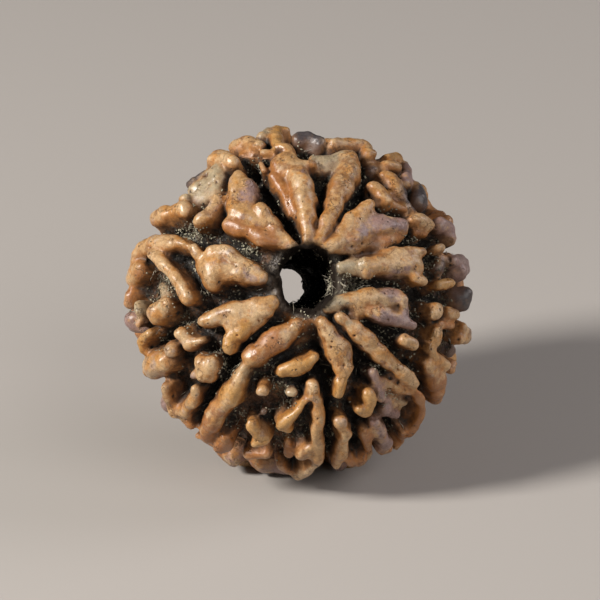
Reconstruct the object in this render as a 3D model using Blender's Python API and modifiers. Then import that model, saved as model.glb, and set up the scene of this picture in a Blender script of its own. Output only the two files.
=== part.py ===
"""Rudraksha bead: the hard stone of the fruit, with ten segments and a natural hole, lying at rest.

The stone is one grown piece. Lumpy ridges stand on a rounded core, in ten segments that run from the
near mouth of the hole to the far one, with a sunk seam between neighbours.

The ridges that show on the face are written as places on it, in millimetres to the right of the bead's
centre and above it, seen square-on. The face frame has +X right, +Y up and +Z out of the face. The
ridges behind follow a seeded rule between the same seams. At the end the bead leans back into the pose
in which it lies, and its lowest ridges are worn flat.
"""
import random
from math import acos, atan2, cos, degrees, exp, pi, radians, sin

import bmesh
import bpy
from mathutils import Matrix, Vector, noise

NAME = "rudraksha_bead"
MM = 0.001

# The stone's outer form, which the tops of the ridges touch, in millimetres
CREST_RADIUS = 11.0
CREST_HALF_LENGTH = 8.5
CREST_POWER = 2.3
AXIS_RIGHT = radians(5.0)
AXIS_UP = radians(7.0)

# How the face is turned up from the ground, and how much of the lowest ridges is worn away
FACE_RISE = radians(25.0)
REST_HEIGHT = 10.2

# The core between the ridges lies below the outer form, and the seams lie deeper still
CORE_DEPTH = 1.75
COLLAR_DEPTH = 0.7
COLLAR_ANGLE = radians(14.0)
COLLAR_FADE = radians(16.0)
SEAM_DEPTH = 0.75
SEAM_HALF_WIDTH = 0.55
CORE_ROUGHNESS = 0.18
CORE_SEGMENTS = 120
CORE_RINGS = 72

# Each ridge is a round crest on a root that reaches into the core
ROOT_DEPTH = 1.9
ROOT_FLARE = 1.12
SOFTENING_LOSS = 0.1

# The natural hole: the middle of each mouth on the face frame, and its half width and half height
NEAR_MOUTH = (0.62, 1.5, 8.6)
NEAR_MOUTH_SIZE = (1.72, 2.05)
FAR_MOUTH = (-0.9, 0.95, -9.0)
FAR_MOUTH_SIZE = (1.1, 1.1)
HOLE_SIDES = 20

# Fineness of the joined surface
VOXEL = 0.2
SMOOTH_STEPS = 6
SMOOTH_FACTOR = 0.5
TRIANGLES = 5000

# The bearing of each seam, anticlockwise from the right of the face: at the mouth, then at the rim
SEAMS = (
    (70, 61),
    (108, 112),
    (148, 156),
    (185, 195),
    (221, 226),
    (275, 278),
    (308, 303),
    (332, 323),
    (362, 358),
    (395, 382),
)
SEAM_START = radians(15.0)
SEAM_END = radians(50.0)

# Ridges on the face: how far each is sunk, then its stations as (right, up, half width), in millimetres
FACE_RIDGES = (
    # First segment, at the top
    (0.0, (-1.0, 8.4, 0.85), (-0.1, 7.9, 0.7), (0.2, 7.1, 0.75), (0.35, 6.2, 0.65),
     (0.4, 5.3, 0.45), (0.8, 4.5, 0.35)),
    (0.5, (-1.4, 7.6, 0.4), (-0.7, 6.6, 0.4), (-0.4, 5.5, 0.3)),
    (0.2, (-2.1, 9.1, 0.35), (-1.6, 9.2, 0.3)),
    (0.4, (-2.3, 8.6, 0.2), (-2.1, 8.1, 0.2)),
    (0.0, (-1.4, 10.7, 0.4), (-1.35, 10.1, 0.4), (-1.2, 9.6, 0.35), (-0.7, 9.5, 0.35)),
    (0.2, (-0.7, 9.5, 0.3), (-0.2, 8.95, 0.2), (0.1, 8.6, 0.2), (0.9, 8.5, 0.2)),
    (0.1, (-2.2, 10.2, 0.3), (-1.7, 10.6, 0.4)),
    (0.2, (-0.9, 10.6, 0.3)),
    (0.0, (1.6, 4.6, 0.35), (1.9, 5.4, 0.45), (2.2, 6.3, 0.55), (2.6, 7.2, 0.65), (3.1, 8.0, 0.75),
     (3.0, 8.7, 0.65)),
    (0.2, (2.4, 8.7, 0.5), (1.5, 8.6, 0.45), (0.9, 8.9, 0.25)),
    (0.0, (0.2, 10.1, 0.5), (1.2, 9.9, 0.45)),
    (0.0, (2.3, 9.8, 0.35), (3.3, 9.8, 0.35), (4.2, 9.6, 0.35), (4.4, 9.1, 0.35)),
    # Second segment, upper right
    (0.0, (1.9, 3.3, 0.3), (2.5, 3.9, 0.45), (3.3, 4.8, 0.6), (4.0, 5.5, 0.6), (4.35, 5.9, 0.45)),
    (0.0, (3.2, 3.9, 0.55), (4.4, 4.6, 0.75), (5.4, 4.7, 0.6), (6.3, 4.65, 0.45)),
    (0.1, (4.4, 5.2, 0.5), (5.1, 5.0, 0.5)),
    (0.0, (4.7, 7.0, 0.45), (5.3, 6.5, 0.4)),
    (0.0, (5.4, 7.8, 0.5), (5.9, 7.3, 0.5), (6.1, 6.6, 0.35)),
    (0.0, (5.5, 8.55, 0.42), (5.8, 8.4, 0.35)),
    (0.0, (5.6, 8.9, 0.4), (6.0, 8.8, 0.4)),
    (0.2, (6.4, 8.5, 0.4), (6.6, 8.0, 0.35), (6.5, 7.4, 0.3)),
    (0.3, (6.4, 6.9, 0.25), (6.5, 6.3, 0.25), (7.0, 5.7, 0.25)),
    (0.0, (7.3, 7.0, 0.55), (7.5, 6.2, 0.55)),
    (0.4, (5.7, 6.0, 0.35), (6.4, 5.7, 0.35)),
    (0.0, (7.1, 5.1, 0.4), (7.6, 5.0, 0.45), (8.1, 4.8, 0.38)),
    (0.0, (8.7, 4.9, 0.35), (9.2, 4.6, 0.4), (9.4, 4.3, 0.35)),
    (0.3, (9.4, 3.8, 0.3)),
    (0.5, (7.2, 4.3, 0.25), (7.8, 4.2, 0.2)),
    # Third segment, right
    (0.4, (2.9, 2.2, 0.45), (4.2, 2.2, 0.6)),
    (0.0, (4.2, 2.2, 0.6), (5.5, 2.3, 0.75), (6.6, 2.3, 0.85), (7.1, 2.2, 0.7)),
    (0.0, (6.6, 2.9, 0.4), (7.45, 3.2, 0.4)),
    (0.0, (7.1, 1.6, 0.4), (7.6, 1.35, 0.25)),
    (0.3, (8.8, 3.4, 0.25), (8.4, 3.4, 0.2)),
    (0.0, (8.65, 1.15, 0.35), (9.0, 1.15, 0.4), (9.35, 1.2, 0.3)),
    (0.2, (9.2, 2.9, 0.25), (9.8, 2.3, 0.45), (10.1, 1.6, 0.3)),
    (0.0, (10.2, 2.6, 0.35)),
    (0.0, (10.15, 0.5, 0.5), (10.2, -0.2, 0.45)),
    # Fourth segment, right and lower
    (0.2, (2.3, -0.1, 0.4), (3.0, 0.1, 0.5)),
    (0.0, (3.0, 0.1, 0.5), (4.0, 0.25, 0.6), (5.2, 0.25, 0.65), (6.1, 0.2, 0.6)),
    (0.0, (4.5, -0.5, 0.5), (5.6, -0.9, 0.55), (6.5, -1.1, 0.4), (7.1, -1.3, 0.25)),
    (0.1, (6.2, 0.2, 0.5), (6.4, -0.6, 0.5)),
    (0.0, (6.5, -2.3, 0.35), (6.9, -2.5, 0.4)),
    (0.0, (8.2, -0.7, 0.4), (8.45, -0.4, 0.42)),
    (0.0, (9.2, -0.6, 0.35), (9.6, -0.7, 0.38)),
    (0.3, (8.7, -1.3, 0.35), (9.4, -1.4, 0.3)),
    (0.0, (10.1, -1.5, 0.4), (10.3, -2.0, 0.45), (10.0, -2.25, 0.35)),
    (0.0, (8.45, -1.7, 0.35), (8.35, -2.4, 0.35), (8.15, -2.9, 0.3), (8.45, -3.4, 0.35),
     (8.95, -3.8, 0.35)),
    (0.9, (9.3, -2.9, 0.5)),
    (0.2, (9.7, -3.7, 0.25), (9.5, -4.1, 0.25)),
    (0.0, (8.0, -3.7, 0.5), (8.3, -4.4, 0.6), (8.55, -5.2, 0.6), (8.55, -5.9, 0.45)),
    # Fifth segment, lower right, around a deep hollow
    (0.0, (2.6, -0.9, 0.3), (3.5, -1.6, 0.5), (4.3, -2.3, 0.6), (5.2, -3.2, 0.5), (6.3, -4.2, 0.42),
     (7.2, -5.0, 0.35)),
    (0.1, (7.3, -5.5, 0.25), (7.6, -6.2, 0.25), (7.6, -6.8, 0.25), (7.2, -7.5, 0.25), (6.8, -8.0, 0.25)),
    (0.3, (6.5, -7.9, 0.2), (6.4, -8.5, 0.2), (6.1, -8.9, 0.2)),
    (0.4, (5.3, -4.9, 0.35), (6.0, -5.1, 0.45), (6.7, -5.2, 0.3)),
    (0.5, (4.6, -4.2, 0.2), (4.9, -5.2, 0.2), (5.1, -5.8, 0.2)),
    (0.6, (5.2, -6.4, 0.5), (6.0, -6.8, 0.4)),
    (0.1, (4.7, -7.3, 0.3), (5.0, -7.9, 0.35), (5.3, -8.6, 0.3)),
    (0.0, (5.2, -9.0, 0.45), (5.6, -9.0, 0.3)),
    (0.2, (4.1, -7.9, 0.25), (4.3, -8.5, 0.25), (4.4, -9.0, 0.25)),
    # Sixth segment, below the mouth and to the right
    (0.0, (1.6, -1.3, 0.3), (2.0, -2.0, 0.5), (2.5, -3.0, 0.7), (2.75, -3.8, 0.5), (2.9, -4.3, 0.3)),
    (0.0, (2.6, -4.9, 0.4), (2.5, -5.5, 0.33)),
    (0.0, (4.2, -5.5, 0.35), (4.4, -6.1, 0.35), (4.2, -6.7, 0.42), (3.7, -6.5, 0.35)),
    (0.0, (2.6, -7.2, 0.33), (2.85, -8.0, 0.45), (2.7, -8.8, 0.42), (2.6, -9.5, 0.4), (2.4, -9.9, 0.3)),
    (0.0, (3.2, -9.7, 0.3), (3.8, -9.8, 0.35), (4.0, -9.5, 0.33)),
    # Seventh segment, below the mouth and to the left
    (0.0, (-0.2, -1.5, 0.5), (-1.0, -2.1, 0.7), (-2.0, -2.8, 0.7), (-2.75, -3.4, 0.5)),
    (0.0, (-1.0, -4.2, 0.42), (-0.3, -4.0, 0.45), (0.5, -3.7, 0.48), (0.95, -3.3, 0.35)),
    (0.0, (-2.15, -5.3, 0.42)),
    (0.3, (-0.3, -5.45, 0.25), (-0.55, -5.5, 0.2)),
    (0.0, (0.85, -5.5, 0.45), (0.9, -5.0, 0.4)),
    (0.0, (1.2, -6.0, 0.35), (1.15, -7.1, 0.42), (1.15, -8.2, 0.4), (1.2, -9.2, 0.42), (1.0, -9.9, 0.35)),
    (0.0, (1.0, -9.9, 0.35), (0.55, -10.3, 0.38), (0.0, -10.5, 0.4)),
    (0.0, (0.4, -6.0, 0.25), (0.1, -6.5, 0.27), (-0.5, -7.1, 0.4), (-0.9, -7.4, 0.5)),
    (0.1, (-0.6, -7.7, 0.35)),
    (0.0, (0.2, -9.3, 0.48), (0.7, -8.9, 0.35)),
    (0.6, (-0.6, -8.6, 0.3), (-0.5, -9.2, 0.3)),
    (0.8, (-2.1, -6.6, 0.3)),
    (0.0, (-2.9, -7.4, 0.33), (-2.6, -7.9, 0.3), (-2.05, -8.3, 0.45), (-2.6, -8.65, 0.3)),
    (0.3, (-3.0, -9.2, 0.4), (-2.0, -9.3, 0.35)),
    (0.3, (-1.1, -10.0, 0.3), (-0.5, -10.3, 0.3)),
    (0.0, (-3.3, -4.0, 0.25), (-3.6, -4.6, 0.45), (-3.95, -5.3, 0.6), (-4.45, -6.1, 0.65)),
    (0.0, (-4.45, -6.1, 0.65), (-5.1, -6.9, 0.7), (-5.5, -7.7, 0.6), (-5.6, -8.2, 0.5)),
    (0.1, (-6.1, -8.2, 0.25)),
    (0.0, (-4.6, -8.9, 0.42), (-4.4, -8.4, 0.4)),
    # Eighth segment, left and lower
    (0.0, (-1.7, 0.05, 0.4), (-2.7, -0.25, 0.58), (-3.7, -0.5, 0.58), (-4.8, -0.75, 0.55),
     (-5.65, -1.1, 0.42)),
    (0.0, (-2.6, -0.8, 0.6), (-3.3, -1.5, 0.62), (-4.0, -2.2, 0.55), (-4.15, -2.7, 0.42)),
    (0.2, (-7.0, -1.9, 0.45), (-6.6, -2.4, 0.5), (-6.0, -2.3, 0.3)),
    (0.0, (-5.9, -3.6, 0.5), (-5.5, -4.2, 0.6), (-5.3, -3.7, 0.5)),
    (0.1, (-6.4, -4.35, 0.3)),
    (0.0, (-6.2, -5.3, 0.36), (-6.5, -6.0, 0.4), (-6.9, -6.6, 0.55), (-7.4, -6.4, 0.6)),
    (0.0, (-7.4, -6.4, 0.6), (-7.9, -5.8, 0.38), (-8.1, -5.1, 0.35)),
    (0.1, (-6.8, -7.1, 0.4), (-6.5, -7.5, 0.3)),
    (0.0, (-8.7, -3.8, 0.85), (-8.0, -3.5, 0.8)),
    (0.1, (-7.7, -2.8, 0.4)),
    (0.0, (-9.5, -2.9, 0.35), (-9.55, -2.4, 0.38), (-9.1, -1.9, 0.33)),
    # Ninth segment, left, with a high arch over a deep hollow
    (0.0, (-2.2, 1.65, 0.42), (-3.2, 1.85, 0.65), (-4.3, 2.0, 0.9), (-5.2, 2.2, 1.0)),
    (0.0, (-4.7, 2.8, 0.6), (-5.6, 2.5, 0.7), (-5.2, 1.5, 0.65)),
    (0.0, (-6.4, 3.35, 0.36), (-6.15, 2.95, 0.33)),
    (0.0, (-6.9, 3.6, 0.35), (-7.8, 3.75, 0.45), (-8.7, 3.7, 0.52), (-9.4, 3.4, 0.55),
     (-9.75, 2.9, 0.45)),
    (0.0, (-9.75, 2.9, 0.45), (-10.0, 2.1, 0.35), (-10.2, 1.4, 0.35)),
    (0.0, (-8.8, 3.1, 0.35), (-8.2, 2.6, 0.35), (-7.6, 2.0, 0.35), (-7.1, 1.3, 0.35),
     (-6.8, 0.7, 0.38), (-6.65, 0.3, 0.45)),
    (0.0, (-9.8, 1.6, 0.6), (-9.5, 2.0, 0.5)),
    (0.0, (-8.4, -0.55, 0.8), (-8.1, -0.1, 0.5)),
    (0.0, (-10.3, 0.6, 0.33), (-10.4, 0.0, 0.3)),
    (0.1, (-9.9, -0.1, 0.25), (-9.8, -0.9, 0.33), (-9.6, -1.2, 0.3)),
    # Tenth segment, upper left
    (0.0, (-0.6, 3.7, 0.3), (-1.2, 4.3, 0.42), (-1.9, 5.1, 0.5), (-2.3, 5.7, 0.42)),
    (0.0, (-0.9, 3.65, 0.33), (-2.0, 3.95, 0.45), (-3.2, 4.4, 0.52), (-4.2, 4.9, 0.48)),
    (0.1, (-2.2, 4.7, 0.6), (-3.2, 5.2, 0.6)),
    (0.0, (-3.9, 5.7, 0.48), (-3.8, 6.6, 0.58), (-3.65, 7.4, 0.6), (-3.6, 7.75, 0.48)),
    (0.3, (-2.9, 7.1, 0.35)),
    (0.0, (-5.25, 8.6, 0.4), (-4.7, 8.75, 0.5), (-4.1, 8.65, 0.42)),
    (0.2, (-4.9, 8.0, 0.5), (-4.9, 7.4, 0.42)),
    (0.3, (-6.6, 7.35, 0.33), (-6.1, 7.6, 0.33), (-5.6, 7.9, 0.33)),
    (0.0, (-3.9, 9.65, 0.38), (-3.1, 9.55, 0.42), (-2.65, 9.6, 0.38)),
    (0.4, (-3.4, 9.0, 0.3)),
    (0.5, (-6.4, 6.4, 0.5), (-5.6, 6.5, 0.6), (-5.0, 6.2, 0.45)),
    (0.2, (-7.1, 6.4, 0.22), (-6.8, 6.5, 0.22)),
    (0.0, (-6.0, 5.05, 0.4), (-5.6, 5.2, 0.35), (-5.3, 5.8, 0.33)),
    (0.0, (-8.7, 5.1, 0.5), (-8.2, 5.3, 0.6), (-7.5, 5.6, 0.58), (-6.9, 5.7, 0.48)),
)

# Low ridges that the bead lies on: stations on the ground as (right, back, half width), in millimetres
FOOT_RIDGES = (
    ((-0.5, 0.3, 0.8), (0.5, -0.1, 0.8)),
    ((-3.1, -1.7, 0.7), (-2.3, -1.1, 0.75)),
    ((2.3, -1.5, 0.75), (3.0, -1.9, 0.7)),
    ((-0.9, 2.1, 0.7), (0.5, 2.4, 0.75)),
)
FOOT_WEAR = 0.4

# Ridges behind the face: rows of places round the bead, joined up at random, where the face turns away
BACK_SEED = 11
BACK_FIRST_ROW = radians(78.0)
BACK_LAST_ROW = radians(166.0)
BACK_ROW_STEP = radians(11.0)
BACK_FROM = -0.5
BACK_SPACING = 2.05
BACK_MARGIN = 0.55
BACK_WIDTHS = (0.5, 0.9)
BACK_SINK = (0.0, 0.35)
BACK_WANDER = 0.38
BACK_LINK_ALONG = 0.6
BACK_LINK_ACROSS = 0.3

# Where the outline is drawn in, the ridges just behind it are sunk: from and to a bearing, and how far
BACK_DIPS = ((-8, 28, 0.5), (75, 105, 0.4), (122, 158, 1.1))
BACK_DIP_FULL = radians(95.0)
BACK_DIP_END = radians(125.0)

STONE_COLOUR = (0.36, 0.19, 0.085, 1.0)
STONE_ROUGHNESS = 0.55


def bead_axes():
    """Return the bead's own right, up and axis directions on the face frame."""
    axis = Vector((sin(AXIS_RIGHT), sin(AXIS_UP), 0.0))
    axis.z = (1.0 - axis.length_squared) ** 0.5
    up = (Vector((0.0, 1.0, 0.0)) - axis * axis.y).normalized()
    return up.cross(axis), up, axis


RIGHT, UP, AXIS = bead_axes()


def crest_excess(point, inset):
    """Tell how far a point lies outside the outer form shrunk by the inset: below zero is inside."""
    height = abs(point.dot(AXIS))
    radius = (point - AXIS * point.dot(AXIS)).length
    around = (radius / (CREST_RADIUS - inset)) ** CREST_POWER
    along = (height / (CREST_HALF_LENGTH - inset)) ** CREST_POWER
    return around + along - 1.0


def crest_normal(point):
    """Return the direction that leads straight out of the outer form near a point."""
    height = point.dot(AXIS)
    outward = point - AXIS * height
    radius = max(outward.length, 1e-6)
    around = (radius / CREST_RADIUS) ** (CREST_POWER - 1.0) / CREST_RADIUS
    along = (abs(height) / CREST_HALF_LENGTH) ** (CREST_POWER - 1.0) / CREST_HALF_LENGTH
    slope = outward / radius * around + AXIS * (along if height > 0.0 else -along)
    return slope.normalized()


def face_point(right, up, inset):
    """Return the point above a place on the face where the shrunk outer form is met."""
    low = 0.0
    high = CREST_HALF_LENGTH + 2.0
    if crest_excess(Vector((right, up, low)), inset) > 0.0:
        return Vector((right, up, low))
    for _ in range(40):
        middle = (low + high) / 2
        if crest_excess(Vector((right, up, middle)), inset) > 0.0:
            high = middle
        else:
            low = middle
    return Vector((right, up, low))


def round_point(bearing, colatitude, inset):
    """Return the point of the shrunk outer form at a bearing and an angle from the near mouth."""
    direction = AXIS * cos(colatitude)
    direction += (RIGHT * cos(bearing) + UP * sin(bearing)) * sin(colatitude)
    low = 0.0
    high = CREST_RADIUS * 1.2
    for _ in range(40):
        middle = (low + high) / 2
        if crest_excess(direction * middle, inset) > 0.0:
            high = middle
        else:
            low = middle
    return direction * low


def lying_turn():
    """Return the turn that takes the face frame to the pose in which the bead lies."""
    return Matrix.Rotation(pi / 2 - FACE_RISE, 4, "X")


def seam_bearing(seam, colatitude):
    """Return where a seam runs at an angle from the near mouth."""
    start, end = SEAMS[seam]
    share = (colatitude - SEAM_START) / (SEAM_END - SEAM_START)
    share = min(max(share, 0.0), 1.0)
    return radians(start + (end - start) * share)


def core_depth(point):
    """Return how far the core lies below the outer form at a point."""
    colatitude = acos(max(-1.0, min(1.0, point.dot(AXIS) / point.length)))
    bearing = atan2(point.dot(UP), point.dot(RIGHT))
    radius = (point - AXIS * point.dot(AXIS)).length
    from_pole = min(colatitude, pi - colatitude)
    share = min(max((from_pole - COLLAR_ANGLE) / COLLAR_FADE, 0.0), 1.0)
    depth = COLLAR_DEPTH + (CORE_DEPTH - COLLAR_DEPTH) * share
    for seam in range(len(SEAMS)):
        turn = (bearing - seam_bearing(seam, colatitude) + pi) % (2 * pi) - pi
        offset = radius * turn / SEAM_HALF_WIDTH
        if abs(offset) < 4.0:
            depth += SEAM_DEPTH * share * exp(-offset * offset)
    return depth + CORE_ROUGHNESS * noise.noise(point * 1.1)


def add_object(name, mesh, collection):
    """Put a mesh in the scene as an object."""
    item = bpy.data.objects.new(name, mesh)
    collection.objects.link(item)
    return item


def make_core(collection):
    """Build the rounded core with its ten sunk seams."""
    shape = bmesh.new()
    bmesh.ops.create_uvsphere(shape, u_segments=CORE_SEGMENTS, v_segments=CORE_RINGS, radius=1.0)
    for vert in shape.verts:
        colatitude = acos(max(-1.0, min(1.0, vert.co.z)))
        bearing = atan2(vert.co.y, vert.co.x)
        point = round_point(bearing, colatitude, 0.0)
        vert.co = point - crest_normal(point) * core_depth(point)
    mesh = bpy.data.meshes.new(NAME)
    shape.to_mesh(mesh)
    shape.free()
    return add_object(NAME, mesh, collection)


def ball_points():
    """Return the points of a few-sided unit ball."""
    shape = bmesh.new()
    bmesh.ops.create_icosphere(shape, subdivisions=2, radius=1.0)
    points = [vert.co.copy() for vert in shape.verts]
    shape.free()
    return points


BALL = ball_points()


def make_lump(stations, collection):
    """Build one closed lump round the crest and root of one or two neighbouring stations."""
    shape = bmesh.new()
    for crest, half_width in stations:
        root = crest - crest_normal(crest) * ROOT_DEPTH
        radius = half_width + SOFTENING_LOSS
        for centre, radius in ((crest, radius), (root, radius * ROOT_FLARE)):
            for point in BALL:
                shape.verts.new(centre + point * radius)
    bmesh.ops.convex_hull(shape, input=shape.verts)
    loose = [vert for vert in shape.verts if not vert.link_faces]
    bmesh.ops.delete(shape, geom=loose, context="VERTS")
    bmesh.ops.recalc_face_normals(shape, faces=shape.faces)
    mesh = bpy.data.meshes.new("lump")
    shape.to_mesh(mesh)
    shape.free()
    return add_object("lump", mesh, collection)


def make_ridge(stations, collection):
    """Build a ridge as a run of lumps that overlap at its stations."""
    if len(stations) == 1:
        make_lump(stations, collection)
    for first, second in zip(stations, stations[1:]):
        make_lump((first, second), collection)


def make_face_ridges(collection):
    """Raise the ridges that show on the face."""
    for sink, *places in FACE_RIDGES:
        stations = []
        for right, up, half_width in places:
            stations.append((face_point(right, up, half_width + sink), half_width))
        make_ridge(stations, collection)


def make_foot_ridges(collection):
    """Raise the low ridges that reach a little below the ground, where they are worn away."""
    for places in FOOT_RIDGES:
        stations = []
        for right, back, half_width in places:
            crest = Vector((right, back, half_width - FOOT_WEAR - REST_HEIGHT))
            stations.append((lying_turn().inverted() @ crest, half_width))
        make_ridge(stations, collection)


def back_rows(draw):
    """Lay out the places behind the face, as rows of (bearing, colatitude) for each segment."""
    segments = []
    for seam in range(len(SEAMS)):
        rows = []
        colatitude = BACK_FIRST_ROW
        while colatitude < BACK_LAST_ROW:
            radius = round_point(0.0, colatitude, 0.0).cross(AXIS).length
            start = seam_bearing(seam, colatitude)
            end = seam_bearing((seam + 1) % len(SEAMS), colatitude)
            if end < start:
                end += 2 * pi
            width = (end - start) * radius - 2 * BACK_MARGIN
            count = max(1, round(width / BACK_SPACING))
            row = []
            for index in range(count):
                offset = BACK_MARGIN + width * (index + 0.5) / count
                bearing = start + (offset + draw.uniform(-BACK_WANDER, BACK_WANDER)) / radius
                drift = draw.uniform(-BACK_WANDER, BACK_WANDER) / CREST_RADIUS
                row.append((bearing, colatitude + drift))
            rows.append(row)
            colatitude += BACK_ROW_STEP
        segments.append(rows)
    return segments


def back_dip(bearing, colatitude):
    """Return how much deeper a ridge is sunk where the outline just in front of it is drawn in."""
    fade = (BACK_DIP_END - colatitude) / (BACK_DIP_END - BACK_DIP_FULL)
    fade = min(max(fade, 0.0), 1.0)
    for start, end, sink in BACK_DIPS:
        if (degrees(bearing) - start) % 360 < end - start:
            return sink * fade
    return 0.0


def make_back_ridges(collection):
    """Raise the ridges behind the face, by the seeded rule."""
    draw = random.Random(BACK_SEED)
    for rows in back_rows(draw):
        placed = []
        for row in rows:
            stations = []
            for bearing, colatitude in row:
                half_width = draw.uniform(*BACK_WIDTHS)
                sink = draw.uniform(*BACK_SINK) + back_dip(bearing, colatitude)
                stations.append((round_point(bearing, colatitude, half_width + sink), half_width))
            placed.append([station for station in stations if station[0].z < BACK_FROM])
        for number, stations in enumerate(placed):
            for index, station in enumerate(stations):
                make_ridge((station,), collection)
                below = placed[number + 1] if number + 1 < len(placed) else []
                if below and draw.random() < BACK_LINK_ALONG:
                    make_ridge((station, below[min(index, len(below) - 1)]), collection)
                if index + 1 < len(stations) and draw.random() < BACK_LINK_ACROSS:
                    make_ridge((station, stations[index + 1]), collection)


def apply_modifiers(item):
    """Make an object's modifiers part of its mesh."""
    bpy.context.view_layer.update()
    evaluated = item.evaluated_get(bpy.context.evaluated_depsgraph_get())
    mesh = bpy.data.meshes.new_from_object(evaluated)
    item.modifiers.clear()
    item.data = mesh


def join_ridges(bead, ridges, hole):
    """Fuse the ridges to the core, open the hole, then even out and soften the whole surface."""
    union = bead.modifiers.new("join_ridges", "BOOLEAN")
    union.operation = "UNION"
    union.operand_type = "COLLECTION"
    union.collection = ridges
    union.solver = "MANIFOLD"
    apply_modifiers(bead)
    for item in list(ridges.objects):
        bpy.data.objects.remove(item)
    cut(bead, hole, "MANIFOLD")
    even = bead.modifiers.new("even_out", "REMESH")
    even.mode = "VOXEL"
    even.voxel_size = VOXEL
    soften = bead.modifiers.new("soften", "SMOOTH")
    soften.factor = SMOOTH_FACTOR
    soften.iterations = SMOOTH_STEPS
    apply_modifiers(bead)


def keep_outer_body(bead):
    """Drop loose scraps and sealed hollows, and keep the one body that holds the surface."""
    shape = bmesh.new()
    shape.from_mesh(bead.data)
    shape.verts.ensure_lookup_table()
    seen = set()
    bodies = []
    for vert in shape.verts:
        if vert in seen:
            continue
        body = [vert]
        seen.add(vert)
        for member in body:
            for edge in member.link_edges:
                other = edge.other_vert(member)
                if other not in seen:
                    seen.add(other)
                    body.append(other)
        bodies.append(body)
    bodies.sort(key=len)
    for body in bodies[:-1]:
        bmesh.ops.delete(shape, geom=body, context="VERTS")
    shape.to_mesh(bead.data)
    shape.free()


def lighten(bead):
    """Bring the surface down to the wanted number of triangles."""
    bead.data.calc_loop_triangles()
    fewer = bead.modifiers.new("lighten", "DECIMATE")
    fewer.ratio = TRIANGLES / len(bead.data.loop_triangles)
    fewer.use_collapse_triangulate = True
    apply_modifiers(bead)


def make_hole(collection):
    """Build the cutter for the natural hole, an oval at the near mouth and a circle at the far one."""
    shape = bmesh.new()
    bmesh.ops.create_cone(
        shape, cap_ends=True, segments=HOLE_SIDES, radius1=1.0, radius2=1.0, depth=2.0)
    for vert in shape.verts:
        near = vert.co.z > 0.0
        middle = Vector(NEAR_MOUTH if near else FAR_MOUTH)
        half_width, half_height = NEAR_MOUTH_SIZE if near else FAR_MOUTH_SIZE
        vert.co = middle + Vector((vert.co.x * half_width, vert.co.y * half_height, 0.0))
    mesh = bpy.data.meshes.new("hole_cutter")
    shape.to_mesh(mesh)
    shape.free()
    return add_object("hole_cutter", mesh, collection)


def make_rest(collection):
    """Build the block that wears the lowest ridges flat, already turned onto the face frame."""
    shape = bmesh.new()
    bmesh.ops.create_cube(shape, size=2 * CREST_RADIUS)
    mesh = bpy.data.meshes.new("rest_cutter")
    shape.to_mesh(mesh)
    shape.free()
    rest = add_object("rest_cutter", mesh, collection)
    below = Matrix.Translation((0.0, 0.0, -REST_HEIGHT - CREST_RADIUS))
    mesh.transform(lying_turn().inverted() @ below)
    return rest


def cut(bead, cutter, solver):
    """Cut one shape out of the bead and hide the cutter."""
    cutter.hide_render = True
    cutter.display_type = "WIRE"
    difference = bead.modifiers.new(cutter.name, "BOOLEAN")
    difference.operation = "DIFFERENCE"
    difference.solver = solver
    difference.object = cutter


def stone_material():
    """Return the plain tan brown of the stone."""
    material = bpy.data.materials.new("stone")
    material.use_nodes = True
    shader = material.node_tree.nodes["Principled BSDF"]
    shader.inputs["Base Color"].default_value = STONE_COLOUR
    shader.inputs["Roughness"].default_value = STONE_ROUGHNESS
    shader.inputs["Metallic"].default_value = 0.0
    return material


def lay_down(bead):
    """Turn the bead into its resting pose, at real size, with its middle straight above the origin."""
    height = Matrix.Translation((0.0, 0.0, REST_HEIGHT))
    bead.data.transform(Matrix.Scale(MM, 4) @ height @ lying_turn())


def main():
    """Build the bead."""
    for item in list(bpy.data.objects):
        bpy.data.objects.remove(item)
    parts = bpy.data.collections.new(NAME)
    cutters = bpy.data.collections.new("cutters")
    ridges = bpy.data.collections.new("ridges")
    for collection in (parts, cutters, ridges):
        bpy.context.scene.collection.children.link(collection)
    bead = make_core(parts)
    make_face_ridges(ridges)
    make_foot_ridges(ridges)
    make_back_ridges(ridges)
    hole = make_hole(cutters)
    join_ridges(bead, ridges, hole)
    bpy.data.collections.remove(ridges)
    keep_outer_body(bead)
    lighten(bead)
    rest = make_rest(cutters)
    cut(bead, rest, "EXACT")
    apply_modifiers(bead)
    for cutter in (hole, rest):
        bpy.data.objects.remove(cutter)
    bpy.data.collections.remove(cutters)
    keep_outer_body(bead)
    lay_down(bead)
    bead.data.materials.clear()
    bead.data.materials.append(stone_material())
    bead.data.shade_smooth()


main()
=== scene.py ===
"""Rudraksha bead, dressed: the fine surface of the stone, with the fibres and grit in its seams.

The stone is built in millimetres on its face frame, which has +X right, +Y up and +Z out of the face,
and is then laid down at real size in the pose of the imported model.
"""
import logging
import random
from dataclasses import dataclass, field
from enum import Enum
from math import cos, degrees, exp, pi, radians, sin

import bmesh
import bpy
import numpy as np
from mathutils import Matrix, Vector, noise
from mathutils.bvhtree import BVHTree
from mathutils.kdtree import KDTree


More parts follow.
